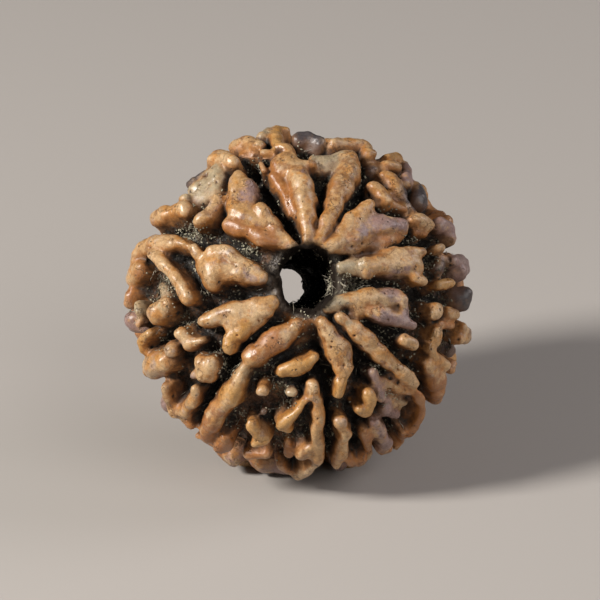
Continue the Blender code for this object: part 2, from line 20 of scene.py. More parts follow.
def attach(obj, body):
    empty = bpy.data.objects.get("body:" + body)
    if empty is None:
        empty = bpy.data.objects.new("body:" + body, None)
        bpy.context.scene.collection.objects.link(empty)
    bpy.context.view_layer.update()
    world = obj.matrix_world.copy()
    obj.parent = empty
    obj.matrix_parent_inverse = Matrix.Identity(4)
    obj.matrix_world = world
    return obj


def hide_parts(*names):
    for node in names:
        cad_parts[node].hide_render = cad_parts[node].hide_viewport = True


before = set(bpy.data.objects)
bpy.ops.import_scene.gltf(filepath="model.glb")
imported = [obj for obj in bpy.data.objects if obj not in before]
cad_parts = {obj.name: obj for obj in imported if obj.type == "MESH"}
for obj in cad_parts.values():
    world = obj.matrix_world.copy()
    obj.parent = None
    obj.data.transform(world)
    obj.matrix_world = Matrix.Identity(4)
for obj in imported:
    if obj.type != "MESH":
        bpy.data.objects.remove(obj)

LOG = logging.getLogger("rudraksha_bead")
NODE = "rudraksha_bead"
BODY = "root"
MM = 0.001

Colour = tuple[float, float, float, float]
Place = tuple[float, float, float]
# A noise pattern: waves a millimetre, finer layers, their strength, and the number that picks it
Waves = tuple[float, float, float, float]
# A ramp: where it starts and ends, and the values there when not 0 and 1
Ramp = tuple[float, ...]


class Tone(Enum):
    """The tones that the stone's ridges take."""

    HONEY = 0
    OCHRE = 1
    RUSSET = 2
    PLUM = 3
    DUSK = 4
    CRUST = 5


@dataclass(frozen=True)
class Ridge:
    """One ridge on the face, with its stations as (right, up, half width) in millimetres."""

    tone: Tone
    sink: float
    stations: tuple[Place, ...]


@dataclass(frozen=True)
class Blush:
    """A patch of another tone on the face: its place, reach and depth in millimetres, and its strength."""

    tone: Tone
    right: float
    up: float
    reach: float
    strength: float = 1.0
    depth: float = 0.3


# Ridges that show on the face, as places to the right of the bead's centre and above it
FACE_RIDGES: tuple[Ridge, ...] = (
    # First segment, at the top
    Ridge(Tone.HONEY, 0.0, (
        (-0.9, 8.35, 0.85), (-0.1, 7.9, 0.78), (0.2, 7.1, 0.82), (0.35, 6.2, 0.75), (0.45, 5.2, 0.6),
        (0.6, 4.3, 0.45), (0.6, 3.7, 0.3))),
    Ridge(Tone.RUSSET, 0.5, ((-1.4, 7.6, 0.4), (-0.7, 6.6, 0.4), (-0.4, 5.5, 0.3))),
    Ridge(Tone.HONEY, 0.2, ((-2.1, 9.1, 0.35), (-1.6, 9.2, 0.3))),
    Ridge(Tone.RUSSET, 0.4, ((-2.3, 8.6, 0.2), (-2.1, 8.1, 0.2))),
    Ridge(Tone.OCHRE, 0.0, ((-1.4, 10.7, 0.4), (-1.35, 10.1, 0.4), (-1.2, 9.6, 0.35), (-0.7, 9.5, 0.35))),
    Ridge(Tone.HONEY, 0.2, ((-0.7, 9.5, 0.3), (-0.2, 8.95, 0.2), (0.1, 8.6, 0.2), (0.9, 8.5, 0.2))),
    Ridge(Tone.CRUST, 0.1, ((-2.2, 10.2, 0.3), (-1.7, 10.6, 0.4))),
    Ridge(Tone.OCHRE, 0.2, ((-0.9, 10.6, 0.3),)),
    Ridge(Tone.HONEY, 0.0, (
        (1.25, 3.8, 0.3), (1.6, 4.5, 0.4), (2.0, 5.4, 0.5), (2.3, 6.3, 0.62), (2.6, 7.1, 0.72),
        (3.05, 7.9, 0.8), (3.0, 8.6, 0.75))),
    Ridge(Tone.CRUST, 0.2, ((2.4, 8.7, 0.55), (1.6, 8.65, 0.45), (0.9, 8.9, 0.25))),
    Ridge(Tone.CRUST, 0.55, ((2.0, 8.2, 0.5), (1.3, 8.2, 0.4))),
    Ridge(Tone.DUSK, 0.0, ((0.1, 10.1, 0.5), (0.7, 10.05, 0.5), (1.3, 9.85, 0.45))),
    Ridge(Tone.HONEY, 0.0, ((2.2, 9.75, 0.38), (3.2, 9.75, 0.42), (4.1, 9.6, 0.42), (4.45, 9.1, 0.4))),
    # Second segment, upper right
    Ridge(Tone.HONEY, 0.0, (
        (1.75, 3.25, 0.3), (2.5, 3.9, 0.5), (3.3, 4.75, 0.62), (3.95, 5.45, 0.62), (4.35, 5.95, 0.45))),
    Ridge(Tone.PLUM, 0.0, ((3.2, 3.9, 0.55), (4.4, 4.6, 0.75), (5.4, 4.7, 0.6), (6.3, 4.65, 0.45))),
    Ridge(Tone.RUSSET, 0.35, (
        (2.3, 3.35, 0.35), (3.5, 3.45, 0.5), (4.6, 3.6, 0.55), (5.6, 4.0, 0.45), (6.4, 4.3, 0.35))),
    Ridge(Tone.PLUM, 0.1, ((4.4, 5.2, 0.5), (5.1, 5.0, 0.5))),
    Ridge(Tone.HONEY, 0.0, ((4.8, 7.05, 0.5), (5.15, 6.6, 0.6), (5.45, 6.3, 0.35))),
    Ridge(Tone.HONEY, 0.1, ((5.3, 7.8, 0.5), (5.7, 7.4, 0.65), (6.0, 6.8, 0.5))),
    Ridge(Tone.HONEY, 0.05, ((5.4, 8.45, 0.42), (5.9, 8.3, 0.42))),
    Ridge(Tone.OCHRE, 0.0, ((5.45, 8.85, 0.4), (6.05, 8.8, 0.45))),
    Ridge(Tone.PLUM, 0.15, ((6.4, 8.4, 0.45), (6.65, 7.9, 0.42), (6.6, 7.4, 0.35))),
    Ridge(Tone.DUSK, 0.3, ((6.4, 6.9, 0.25), (6.5, 6.3, 0.25), (7.0, 5.7, 0.25))),
    Ridge(Tone.DUSK, 0.0, ((7.3, 6.95, 0.64), (7.5, 6.25, 0.62))),
    Ridge(Tone.DUSK, 0.6, ((4.5, 8.1, 0.45), (4.9, 8.6, 0.35))),
    Ridge(Tone.RUSSET, 0.55, ((5.2, 5.9, 0.35), (5.9, 6.2, 0.4))),
    Ridge(Tone.RUSSET, 0.4, ((5.7, 6.0, 0.35), (6.4, 5.7, 0.35))),
    Ridge(Tone.HONEY, 0.0, ((7.1, 5.1, 0.4), (7.6, 5.0, 0.45), (8.1, 4.8, 0.38))),
    Ridge(Tone.PLUM, 0.0, ((8.7, 4.85, 0.42), (9.2, 4.5, 0.48), (9.45, 4.1, 0.36))),
    Ridge(Tone.RUSSET, 0.3, ((9.4, 3.8, 0.3),)),
    Ridge(Tone.RUSSET, 0.5, ((7.2, 4.3, 0.25), (7.8, 4.2, 0.2))),
    # Third segment, right
    Ridge(Tone.CRUST, 0.35, ((2.6, 2.1, 0.45), (3.4, 2.15, 0.6), (4.2, 2.2, 0.65))),
    Ridge(Tone.PLUM, 0.0, ((4.2, 2.2, 0.6), (5.5, 2.3, 0.75), (6.6, 2.3, 0.85), (7.1, 2.2, 0.7))),
    Ridge(Tone.HONEY, 0.05, ((4.9, 2.6, 0.45), (6.0, 2.85, 0.5), (6.8, 3.0, 0.45), (7.5, 3.15, 0.42))),
    Ridge(Tone.HONEY, 0.0, ((7.1, 1.6, 0.4), (7.6, 1.35, 0.25))),
    Ridge(Tone.HONEY, 0.3, ((8.8, 3.38, 0.22), (8.5, 3.35, 0.2))),
    Ridge(Tone.OCHRE, 0.0, ((8.65, 1.15, 0.35), (9.0, 1.15, 0.4), (9.35, 1.2, 0.3))),
    Ridge(Tone.PLUM, 0.1, ((9.5, 2.6, 0.4), (10.1, 2.5, 0.55), (10.05, 1.9, 0.5))),
    Ridge(Tone.DUSK, 0.6, ((8.7, 2.6, 0.4), (8.6, 2.0, 0.4))),
    Ridge(Tone.DUSK, 0.0, ((10.15, 0.5, 0.5), (10.2, -0.2, 0.45))),
    # Fourth segment, right and lower
    Ridge(Tone.CRUST, 0.15, ((1.9, -0.2, 0.35), (2.4, -0.05, 0.45), (3.0, 0.1, 0.55))),
    Ridge(Tone.HONEY, 0.0, ((3.0, 0.1, 0.5), (4.0, 0.25, 0.6), (5.2, 0.25, 0.65), (6.1, 0.2, 0.6))),
    Ridge(Tone.PLUM, 0.0, ((4.5, -0.5, 0.5), (5.6, -0.9, 0.55), (6.5, -1.1, 0.4), (7.1, -1.3, 0.25))),
    Ridge(Tone.PLUM, 0.1, ((6.2, 0.2, 0.5), (6.4, -0.6, 0.5))),
    Ridge(Tone.OCHRE, 0.2, ((3.5, -0.5, 0.5), (4.4, -0.4, 0.55), (5.4, -0.4, 0.5))),
    Ridge(Tone.HONEY, 0.0, ((6.5, -2.3, 0.35), (6.9, -2.5, 0.4))),
    Ridge(Tone.HONEY, 0.0, ((8.2, -0.7, 0.4), (8.45, -0.4, 0.42))),
    Ridge(Tone.HONEY, 0.0, ((9.2, -0.6, 0.35), (9.6, -0.7, 0.38))),
    Ridge(Tone.RUSSET, 0.3, ((8.7, -1.3, 0.35), (9.4, -1.4, 0.3))),
    Ridge(Tone.HONEY, 0.0, ((10.1, -1.5, 0.4), (10.3, -2.0, 0.45), (10.0, -2.25, 0.35))),
    Ridge(Tone.HONEY, 0.0, (
        (8.45, -1.7, 0.35), (8.35, -2.4, 0.35), (8.15, -2.9, 0.3), (8.45, -3.4, 0.35), (8.95, -3.8, 0.35))),
    Ridge(Tone.DUSK, 0.9, ((9.3, -2.9, 0.5),)),
    Ridge(Tone.RUSSET, 0.2, ((9.7, -3.7, 0.25), (9.5, -4.1, 0.25))),
    Ridge(Tone.RUSSET, 0.0, ((8.0, -3.7, 0.55), (8.3, -4.4, 0.68), (8.5, -5.2, 0.66), (8.5, -5.9, 0.48))),
    # Fifth segment, lower right, around a deep hollow
    Ridge(Tone.HONEY, 0.0, (
        (2.6, -0.9, 0.3), (3.5, -1.6, 0.5), (4.3, -2.3, 0.6), (5.2, -3.2, 0.5), (6.3, -4.2, 0.42),
        (7.2, -5.0, 0.35))),
    Ridge(Tone.RUSSET, 0.1, (
        (7.3, -5.5, 0.25), (7.6, -6.2, 0.25), (7.6, -6.8, 0.25), (7.2, -7.5, 0.25), (6.8, -8.0, 0.25))),
    Ridge(Tone.RUSSET, 0.3, ((6.5, -7.9, 0.2), (6.4, -8.5, 0.2), (6.1, -8.9, 0.2))),
    Ridge(Tone.HONEY, 0.4, ((5.3, -4.8, 0.4), (6.0, -5.1, 0.5), (6.8, -5.3, 0.4))),
    Ridge(Tone.CRUST, 0.8, ((5.8, -5.8, 0.45), (6.4, -6.0, 0.45))),
    Ridge(Tone.PLUM, 0.35, ((4.55, -4.2, 0.25), (4.9, -5.1, 0.3), (5.1, -5.8, 0.3))),
    Ridge(Tone.PLUM, 0.75, ((4.9, -5.0, 0.5), (5.3, -5.8, 0.55), (5.2, -6.5, 0.5))),
    Ridge(Tone.PLUM, 0.6, ((5.2, -6.4, 0.5), (6.0, -6.8, 0.4))),
    Ridge(Tone.PLUM, 0.1, ((4.7, -7.3, 0.36), (5.0, -7.9, 0.42), (5.35, -8.7, 0.42))),
    Ridge(Tone.RUSSET, 0.0, ((5.2, -9.0, 0.45), (5.6, -9.0, 0.3))),
    Ridge(Tone.RUSSET, 0.2, ((4.1, -7.9, 0.25), (4.3, -8.5, 0.25), (4.4, -9.0, 0.25))),
    # Sixth segment, below the mouth and to the right
    Ridge(Tone.HONEY, 0.0, (
        (1.5, -1.2, 0.35), (1.95, -1.9, 0.58), (2.5, -2.9, 0.76), (2.75, -3.8, 0.58), (2.9, -4.3, 0.33))),
    Ridge(Tone.OCHRE, 0.0, ((2.6, -4.9, 0.4), (2.5, -5.5, 0.33))),
    Ridge(Tone.OCHRE, 0.0, ((4.2, -5.5, 0.35), (4.4, -6.1, 0.35), (4.2, -6.7, 0.42), (3.7, -6.5, 0.35))),
    Ridge(Tone.HONEY, 0.0, (
        (2.6, -7.2, 0.33), (2.85, -8.0, 0.45), (2.7, -8.8, 0.42), (2.6, -9.5, 0.4), (2.4, -9.9, 0.3))),
    Ridge(Tone.RUSSET, 0.0, ((3.2, -9.7, 0.3), (3.8, -9.8, 0.35), (4.0, -9.5, 0.33))),
    # Seventh segment, below the mouth and to the left
    Ridge(Tone.RUSSET, 0.0, (
        (-0.2, -1.4, 0.52), (-1.0, -2.1, 0.78), (-1.95, -2.75, 0.8), (-2.75, -3.35, 0.6))),
    Ridge(Tone.OCHRE, 0.0, ((-1.0, -4.2, 0.42), (-0.3, -4.0, 0.45), (0.5, -3.7, 0.48), (0.95, -3.3, 0.35))),
    Ridge(Tone.HONEY, 0.0, ((-2.15, -5.3, 0.42),)),
    Ridge(Tone.CRUST, 0.3, ((-0.3, -5.45, 0.25), (-0.55, -5.5, 0.2))),
    Ridge(Tone.HONEY, 0.0, ((0.85, -5.5, 0.45), (0.9, -5.0, 0.4))),
    Ridge(Tone.HONEY, 0.0, (
        (1.2, -6.0, 0.35), (1.15, -7.1, 0.42), (1.15, -8.2, 0.4), (1.2, -9.2, 0.42), (1.0, -9.9, 0.35))),
    Ridge(Tone.HONEY, 0.0, ((1.0, -9.9, 0.35), (0.55, -10.3, 0.38), (0.0, -10.5, 0.4))),
    Ridge(Tone.OCHRE, 0.0, ((0.4, -6.0, 0.25), (0.1, -6.5, 0.27), (-0.5, -7.1, 0.4), (-0.9, -7.4, 0.5))),
    Ridge(Tone.OCHRE, 0.1, ((-0.6, -7.7, 0.35),)),
    Ridge(Tone.HONEY, 0.0, ((0.2, -9.3, 0.48), (0.7, -8.9, 0.35))),
    Ridge(Tone.RUSSET, 0.6, ((-0.6, -8.6, 0.3), (-0.5, -9.2, 0.3))),
    Ridge(Tone.DUSK, 0.8, ((-2.1, -6.6, 0.3),)),
    Ridge(Tone.OCHRE, 0.0, (
        (-2.9, -7.4, 0.33), (-2.6, -7.9, 0.3), (-2.05, -8.3, 0.45), (-2.6, -8.65, 0.3))),
    Ridge(Tone.RUSSET, 0.3, ((-3.0, -9.2, 0.4), (-2.0, -9.3, 0.35))),
    Ridge(Tone.RUSSET, 0.3, ((-1.1, -10.0, 0.3), (-0.5, -10.3, 0.3))),
    Ridge(Tone.CRUST, 0.15, ((-3.25, -3.95, 0.35), (-3.55, -4.6, 0.5))),
    Ridge(Tone.OCHRE, 0.0, ((-3.55, -4.6, 0.5), (-3.95, -5.3, 0.66), (-4.4, -6.05, 0.68))),
    Ridge(Tone.RUSSET, 0.0, ((-4.45, -6.1, 0.65), (-5.1, -6.9, 0.7), (-5.5, -7.7, 0.6), (-5.6, -8.2, 0.5))),
    Ridge(Tone.RUSSET, 0.1, ((-6.1, -8.2, 0.25),)),
    Ridge(Tone.RUSSET, 0.0, ((-4.65, -8.75, 0.55), (-4.4, -8.3, 0.45))),
    # Eighth segment, left and lower
    Ridge(Tone.HONEY, 0.0, (
        (-1.6, -0.05, 0.42), (-2.6, -0.25, 0.6), (-3.7, -0.55, 0.64), (-4.8, -0.8, 0.6),
        (-5.65, -1.1, 0.48))),
    Ridge(Tone.OCHRE, 0.0, (
        (-2.6, -0.8, 0.6), (-3.3, -1.5, 0.62), (-4.0, -2.2, 0.55), (-4.15, -2.7, 0.42))),
    Ridge(Tone.HONEY, 0.05, ((-1.9, -0.5, 0.45), (-3.0, -1.0, 0.65), (-4.0, -1.3, 0.55))),
    Ridge(Tone.HONEY, 0.2, ((-7.0, -1.9, 0.45), (-6.6, -2.4, 0.5), (-6.0, -2.3, 0.3))),
    Ridge(Tone.HONEY, 0.0, ((-5.9, -3.6, 0.5), (-5.5, -4.2, 0.6), (-5.3, -3.7, 0.5))),
    Ridge(Tone.PLUM, 0.1, ((-6.4, -4.35, 0.3),)),
    Ridge(Tone.HONEY, 0.0, ((-6.2, -5.3, 0.36), (-6.5, -6.0, 0.4), (-6.9, -6.6, 0.55), (-7.4, -6.4, 0.6))),
    Ridge(Tone.HONEY, 0.0, ((-7.4, -6.4, 0.6), (-7.9, -5.8, 0.38), (-8.1, -5.1, 0.35))),
    Ridge(Tone.RUSSET, 0.1, ((-6.8, -7.1, 0.4), (-6.5, -7.5, 0.3))),
    Ridge(Tone.HONEY, 0.0, ((-8.7, -3.8, 0.85), (-8.0, -3.5, 0.8))),
    Ridge(Tone.HONEY, 0.1, ((-7.7, -2.8, 0.4),)),
    Ridge(Tone.OCHRE, 0.0, ((-9.5, -2.9, 0.35), (-9.55, -2.4, 0.38), (-9.1, -1.9, 0.33))),
    # Ninth segment, left, with a high arch over a deep hollow
    Ridge(Tone.HONEY, 0.0, ((-2.2, 1.65, 0.42), (-3.2, 1.85, 0.65), (-4.3, 2.0, 0.9), (-5.2, 2.2, 1.0))),
    Ridge(Tone.HONEY, 0.0, ((-4.7, 2.8, 0.6), (-5.6, 2.5, 0.7), (-5.2, 1.5, 0.7))),
    Ridge(Tone.HONEY, 0.05, ((-5.1, 3.1, 0.52), (-4.3, 2.95, 0.55), (-3.5, 2.5, 0.5), (-2.6, 2.0, 0.4))),
    Ridge(Tone.HONEY, 0.0, ((-6.4, 3.35, 0.36), (-6.15, 2.95, 0.33))),
    Ridge(Tone.HONEY, 0.0, (
        (-6.95, 3.55, 0.4), (-7.7, 3.65, 0.52), (-8.5, 3.62, 0.62), (-9.25, 3.3, 0.65), (-9.7, 2.9, 0.5))),
    Ridge(Tone.HONEY, 0.0, ((-9.75, 2.9, 0.45), (-10.0, 2.1, 0.35), (-10.2, 1.4, 0.35))),
    Ridge(Tone.HONEY, 0.0, (
        (-8.8, 3.05, 0.42), (-8.15, 2.45, 0.42), (-7.6, 1.8, 0.42), (-7.15, 1.1, 0.45), (-6.75, 0.4, 0.5))),
    Ridge(Tone.RUSSET, 0.0, ((-9.85, 1.6, 0.74), (-9.55, 2.1, 0.6))),
    Ridge(Tone.CRUST, 1.0, ((-8.2, 1.0, 0.5), (-7.7, 0.3, 0.5))),
    Ridge(Tone.HONEY, 0.0, ((-8.4, -0.55, 0.8), (-8.1, -0.1, 0.5))),
    Ridge(Tone.RUSSET, 0.0, ((-10.3, 0.6, 0.33), (-10.4, 0.0, 0.3))),
    Ridge(Tone.CRUST, 0.1, ((-9.85, -0.1, 0.3), (-9.7, -0.6, 0.35))),
    Ridge(Tone.PLUM, 0.05, ((-9.7, -1.2, 0.45),)),
    # Tenth segment, upper left
    Ridge(Tone.HONEY, 0.0, (
        (-0.1, 3.4, 0.25), (-0.65, 3.75, 0.38), (-1.25, 4.4, 0.5), (-1.9, 5.1, 0.55), (-2.3, 5.7, 0.45))),
    Ridge(Tone.RUSSET, 0.0, (
        (-0.3, 3.4, 0.25), (-1.1, 3.65, 0.4), (-2.1, 3.95, 0.5), (-3.2, 4.4, 0.56), (-4.15, 4.85, 0.5))),
    Ridge(Tone.HONEY, 0.1, ((-2.2, 4.7, 0.6), (-3.2, 5.2, 0.6))),
    Ridge(Tone.HONEY, 0.0, ((-3.8, 5.6, 0.55), (-3.8, 6.6, 0.58), (-3.7, 7.4, 0.62), (-3.6, 7.75, 0.5))),
    Ridge(Tone.PLUM, 0.15, ((-3.15, 7.2, 0.55), (-3.05, 6.5, 0.6), (-3.1, 5.8, 0.5))),
    Ridge(Tone.HONEY, 0.0, ((-5.2, 8.7, 0.5), (-4.6, 8.8, 0.52), (-4.0, 8.6, 0.5))),
    Ridge(Tone.CRUST, 0.2, ((-4.95, 8.05, 0.55), (-4.9, 7.4, 0.6))),
    Ridge(Tone.DUSK, 0.3, ((-6.6, 7.35, 0.33), (-6.1, 7.6, 0.33), (-5.6, 7.9, 0.33))),
    Ridge(Tone.HONEY, 0.0, ((-3.8, 9.6, 0.52), (-3.1, 9.65, 0.58), (-2.45, 9.55, 0.48))),
    Ridge(Tone.HONEY, 0.5, ((-3.3, 9.0, 0.4), (-2.7, 9.0, 0.35))),
    Ridge(Tone.CRUST, 0.35, ((-6.3, 6.85, 0.5), (-5.6, 7.15, 0.6), (-5.0, 7.0, 0.55))),
    Ridge(Tone.CRUST, 0.5, ((-6.3, 6.3, 0.6), (-5.5, 6.4, 0.7), (-4.9, 6.5, 0.55))),
    Ridge(Tone.DUSK, 0.9, ((-6.6, 5.6, 0.55), (-6.2, 5.1, 0.5))),
    Ridge(Tone.CRUST, 0.2, ((-7.1, 6.4, 0.22), (-6.8, 6.5, 0.22))),
    Ridge(Tone.HONEY, 0.0, ((-6.0, 4.95, 0.42), (-5.45, 5.25, 0.48), (-5.1, 5.9, 0.48), (-4.9, 6.4, 0.4))),
    Ridge(Tone.HONEY, 0.0, ((-8.7, 5.1, 0.5), (-8.2, 5.3, 0.6), (-7.5, 5.6, 0.58), (-6.9, 5.7, 0.48))),
)

# Patches where a ridge changes tone along its length; the last two are painted shadow on the lower left edge
BLUSHES: tuple[Blush, ...] = (
    Blush(Tone.PLUM, 0.1, 8.0, 0.5, 0.6),
    Blush(Tone.HONEY, 5.0, 2.5, 0.8),
    Blush(Tone.PLUM, 5.4, 0.9, 0.8),
    Blush(Tone.PLUM, 6.0, 0.4, 0.6),
    Blush(Tone.OCHRE, 6.0, -0.5, 0.4),
    Blush(Tone.RUSSET, 4.3, -0.1, 0.6),
    Blush(Tone.PLUM, 3.1, -3.1, 0.45, 0.8),
    Blush(Tone.RUSSET, 2.8, -3.9, 0.5, 0.7),
    Blush(Tone.OCHRE, 3.9, 5.6, 0.6, 0.8),
    Blush(Tone.PLUM, 4.7, 5.2, 0.5, 0.8),
    Blush(Tone.RUSSET, 2.9, 3.9, 0.6, 0.8),
    Blush(Tone.OCHRE, 1.9, 5.9, 0.5, 0.6),
    Blush(Tone.PLUM, -2.8, 1.7, 0.7, 0.7),
    Blush(Tone.RUSSET, -4.7, 2.2, 0.7, 0.8),
    Blush(Tone.OCHRE, -5.4, 3.1, 0.6, 0.7),
    Blush(Tone.RUSSET, -1.6, 4.2, 0.6),
    Blush(Tone.PLUM, -2.8, 4.6, 0.5, 0.5),
    Blush(Tone.PLUM, -3.3, 6.8, 0.5, 0.7),
    Blush(Tone.OCHRE, -3.7, 7.6, 0.5, 0.8),
    Blush(Tone.CRUST, -4.5, 7.6, 0.5, 0.7),
    Blush(Tone.CRUST, -8.6, -3.0, 0.5, 0.6),
    Blush(Tone.OCHRE, -2.9, -3.4, 0.45, 0.8),
    Blush(Tone.HONEY, -0.6, -1.9, 0.6, 0.8),
    Blush(Tone.OCHRE, -4.6, -0.8, 0.5, 0.6),
    Blush(Tone.RUSSET, -3.0, -0.5, 0.5, 0.6),
    Blush(Tone.PLUM, -1.8, 0.0, 0.5, 0.6),
    Blush(Tone.OCHRE, -4.7, -7.1, 0.4),
    Blush(Tone.CRUST, -0.5, 7.9, 0.4, 0.5),
    Blush(Tone.CRUST, 2.2, 8.3, 0.6, 0.7),
    Blush(Tone.PLUM, -2.1, -7.9, 0.5, 0.7),
    Blush(Tone.HONEY, 6.4, 2.6, 0.4, 0.4),
    Blush(Tone.OCHRE, 2.2, 5.2, 0.6, 0.6),
    Blush(Tone.PLUM, 3.6, 7.0, 0.5, 0.5),
    Blush(Tone.CRUST, 3.1, 2.1, 1.2, 1.0, 0.6),
    Blush(Tone.CRUST, 2.4, 1.1, 0.9, 1.0, 1.6),
    Blush(Tone.CRUST, 2.4, -0.6, 0.7, 0.9, 0.8),
    Blush(Tone.CRUST, -3.2, 9.1, 0.5, 0.8),
    Blush(Tone.OCHRE, -8.6, 3.9, 0.5, 0.6),
    Blush(Tone.PLUM, -9.0, 2.4, 0.5, 0.6, 0.6),
    Blush(Tone.CRUST, -8.3, 0.0, 0.6, 0.7),
    Blush(Tone.CRUST, -7.9, -2.8, 0.6, 0.8),
    Blush(Tone.CRUST, -6.6, -1.8, 0.45, 0.7),
    Blush(Tone.RUSSET, -6.0, -2.6, 0.4, 0.8),
    Blush(Tone.DUSK, 7.4, 6.6, 0.9, 1.0),
    Blush(Tone.DUSK, 0.5, 10.1, 0.7, 0.9),
    Blush(Tone.DUSK, 10.2, 0.2, 0.6, 0.8),
    Blush(Tone.CRUST, 2.8, 9.5, 0.5, 0.6),
    Blush(Tone.RUSSET, 3.9, 9.4, 0.5, 0.6),
    Blush(Tone.RUSSET, -6.6, 0.4, 0.5, 0.5),
    Blush(Tone.OCHRE, -5.2, -4.4, 0.5, 0.7),
    Blush(Tone.PLUM, -5.2, -7.0, 0.45, 0.8),
    Blush(Tone.PLUM, 2.4, -2.0, 0.5, 0.7),
    Blush(Tone.OCHRE, 2.1, -3.0, 0.4, 0.6),
    Blush(Tone.CRUST, 3.2, -1.3, 0.5, 0.6),
    Blush(Tone.OCHRE, 5.6, -3.5, 0.4, 0.5),
    Blush(Tone.PLUM, 8.3, -4.2, 0.6, 0.6),
    Blush(Tone.CRUST, 8.2, -2.9, 0.6, 0.5),
    # Painted shadow: two russet patches darken the lower left edge, where the bead's underside lies in shade
    Blush(Tone.RUSSET, -3.9, -9.6, 1.0, 1.0),
    Blush(Tone.RUSSET, -2.6, -10.2, 0.8, 1.0),
)

# Where dust, grit and fibres have gathered: right, up and reach
LITTER_SPOTS: tuple[Place, ...] = (
    (-6.5, 4.4, 0.7), (-5.0, -3.3, 0.5), (-4.6, -3.9, 0.6), (-3.9, -4.3, 0.6), (3.0, 1.5, 1.0),
    (2.1, 1.0, 0.7), (2.7, -0.5, 0.5), (3.6, -0.9, 0.5), (-3.0, 3.2, 0.6), (-4.7, 6.8, 0.4),
    (4.8, -4.0, 0.5), (0.3, 9.5, 0.5), (6.9, 3.9, 0.5), (8.3, 2.4, 0.7), (-0.4, -6.2, 0.6),
    (-1.2, -4.9, 0.5), (-7.8, -2.9, 0.5), (-8.0, -0.1, 0.5), (-9.9, -0.3, 0.5), (-6.7, -1.8, 0.5),
    (-2.7, 4.6, 0.3), (5.6, 5.7, 0.6), (-6.0, 5.8, 0.6), (-7.9, 0.9, 0.8), (0.0, -1.0, 0.7),
    (5.6, -5.7, 0.5), (9.3, -2.4, 0.5), (-2.4, 8.4, 0.5),
)

# Low ridges that the bead lies on: stations on the ground as (right, back, half width)
FOOT_RIDGES: tuple[tuple[Place, ...], ...] = (
    ((-0.5, 0.3, 0.8), (0.5, -0.1, 0.8)),
    ((-3.1, -1.7, 0.7), (-2.3, -1.1, 0.75)),
    ((2.3, -1.5, 0.75), (3.0, -1.9, 0.7)),
    ((-0.9, 2.1, 0.7), (0.5, 2.4, 0.75)),
)

# The bearing of each seam, anticlockwise from the right of the face: at the mouth, then at the rim
SEAMS: tuple[tuple[float, float], ...] = (
    (70, 61),
    (108, 112),
    (148, 156),
    (185, 195),
    (221, 226),
    (275, 278),
    (308, 303),
    (332, 323),
    (362, 358),
    (395, 382),
)


def add_object(name: str, mesh: bpy.types.Mesh) -> bpy.types.Object:
    """Put a mesh in the scene.

    Args:
        name: The object's name.
        mesh: Its mesh.

    Returns:
        The new object, at the origin.
    """
    item = bpy.data.objects.new(name, mesh)
    bpy.context.scene.collection.objects.link(item)
    return item


def settle(item: bpy.types.Object) -> None:
    """Make an object's modifiers part of its mesh.

    Args:
        item: The object, whose modifiers are removed.
    """
    bpy.context.view_layer.update()
    evaluated = item.evaluated_get(bpy.context.evaluated_depsgraph_get())
    mesh = bpy.data.meshes.new_from_object(evaluated)
    item.modifiers.clear()
    item.data = mesh


def discard(*items: bpy.types.Object) -> None:
    """Remove helper objects from the scene.

    Args:
        *items: The objects.
    """
    for item in items:
        bpy.data.objects.remove(item)


def point_array(mesh: bpy.types.Mesh, source: str) -> np.ndarray:
    """Read a mesh's places or normals.

    Args:
        mesh: The mesh.
        source: Either "co" or "normal".

    Returns:
        One row of three numbers for each vertex.
    """
    values = np.empty(len(mesh.vertices) * 3)
    mesh.vertices.foreach_get(source, values)
    return values.reshape(-1, 3)


def write_share(mesh: bpy.types.Mesh, name: str, values: np.ndarray) -> None:
    """Store one number for each vertex as an attribute.

    Args:
        mesh: The mesh.
        name: The attribute's name.
        values: One number for each vertex.
    """
    layer = mesh.attributes.new(name, "FLOAT", "POINT")
    layer.data.foreach_set("value", np.ascontiguousarray(values, dtype=np.float32))


@dataclass(frozen=True)
class Wire:
    """What flows out of a node. Plus, minus and times add the node that works them out."""

    bench: "Bench"
    socket: bpy.types.NodeSocket

    def __add__(self, other: "Feed") -> "Wire":
        """Return the sum."""
        return self.bench.math("ADD", self, other)

    def __radd__(self, other: float) -> "Wire":
        """Return the sum with a plain number in front."""
        return self.bench.math("ADD", other, self)

    def __sub__(self, other: "Feed") -> "Wire":
        """Return the difference."""
        return self.bench.math("SUBTRACT", self, other)

    def __rsub__(self, other: float) -> "Wire":
        """Return what is left of a plain number."""
        return self.bench.math("SUBTRACT", other, self)

    def __mul__(self, other: "Feed") -> "Wire":
        """Return the product."""
        return self.bench.math("MULTIPLY", self, other)


Feed = Wire | bpy.types.NodeSocket | float | int | tuple


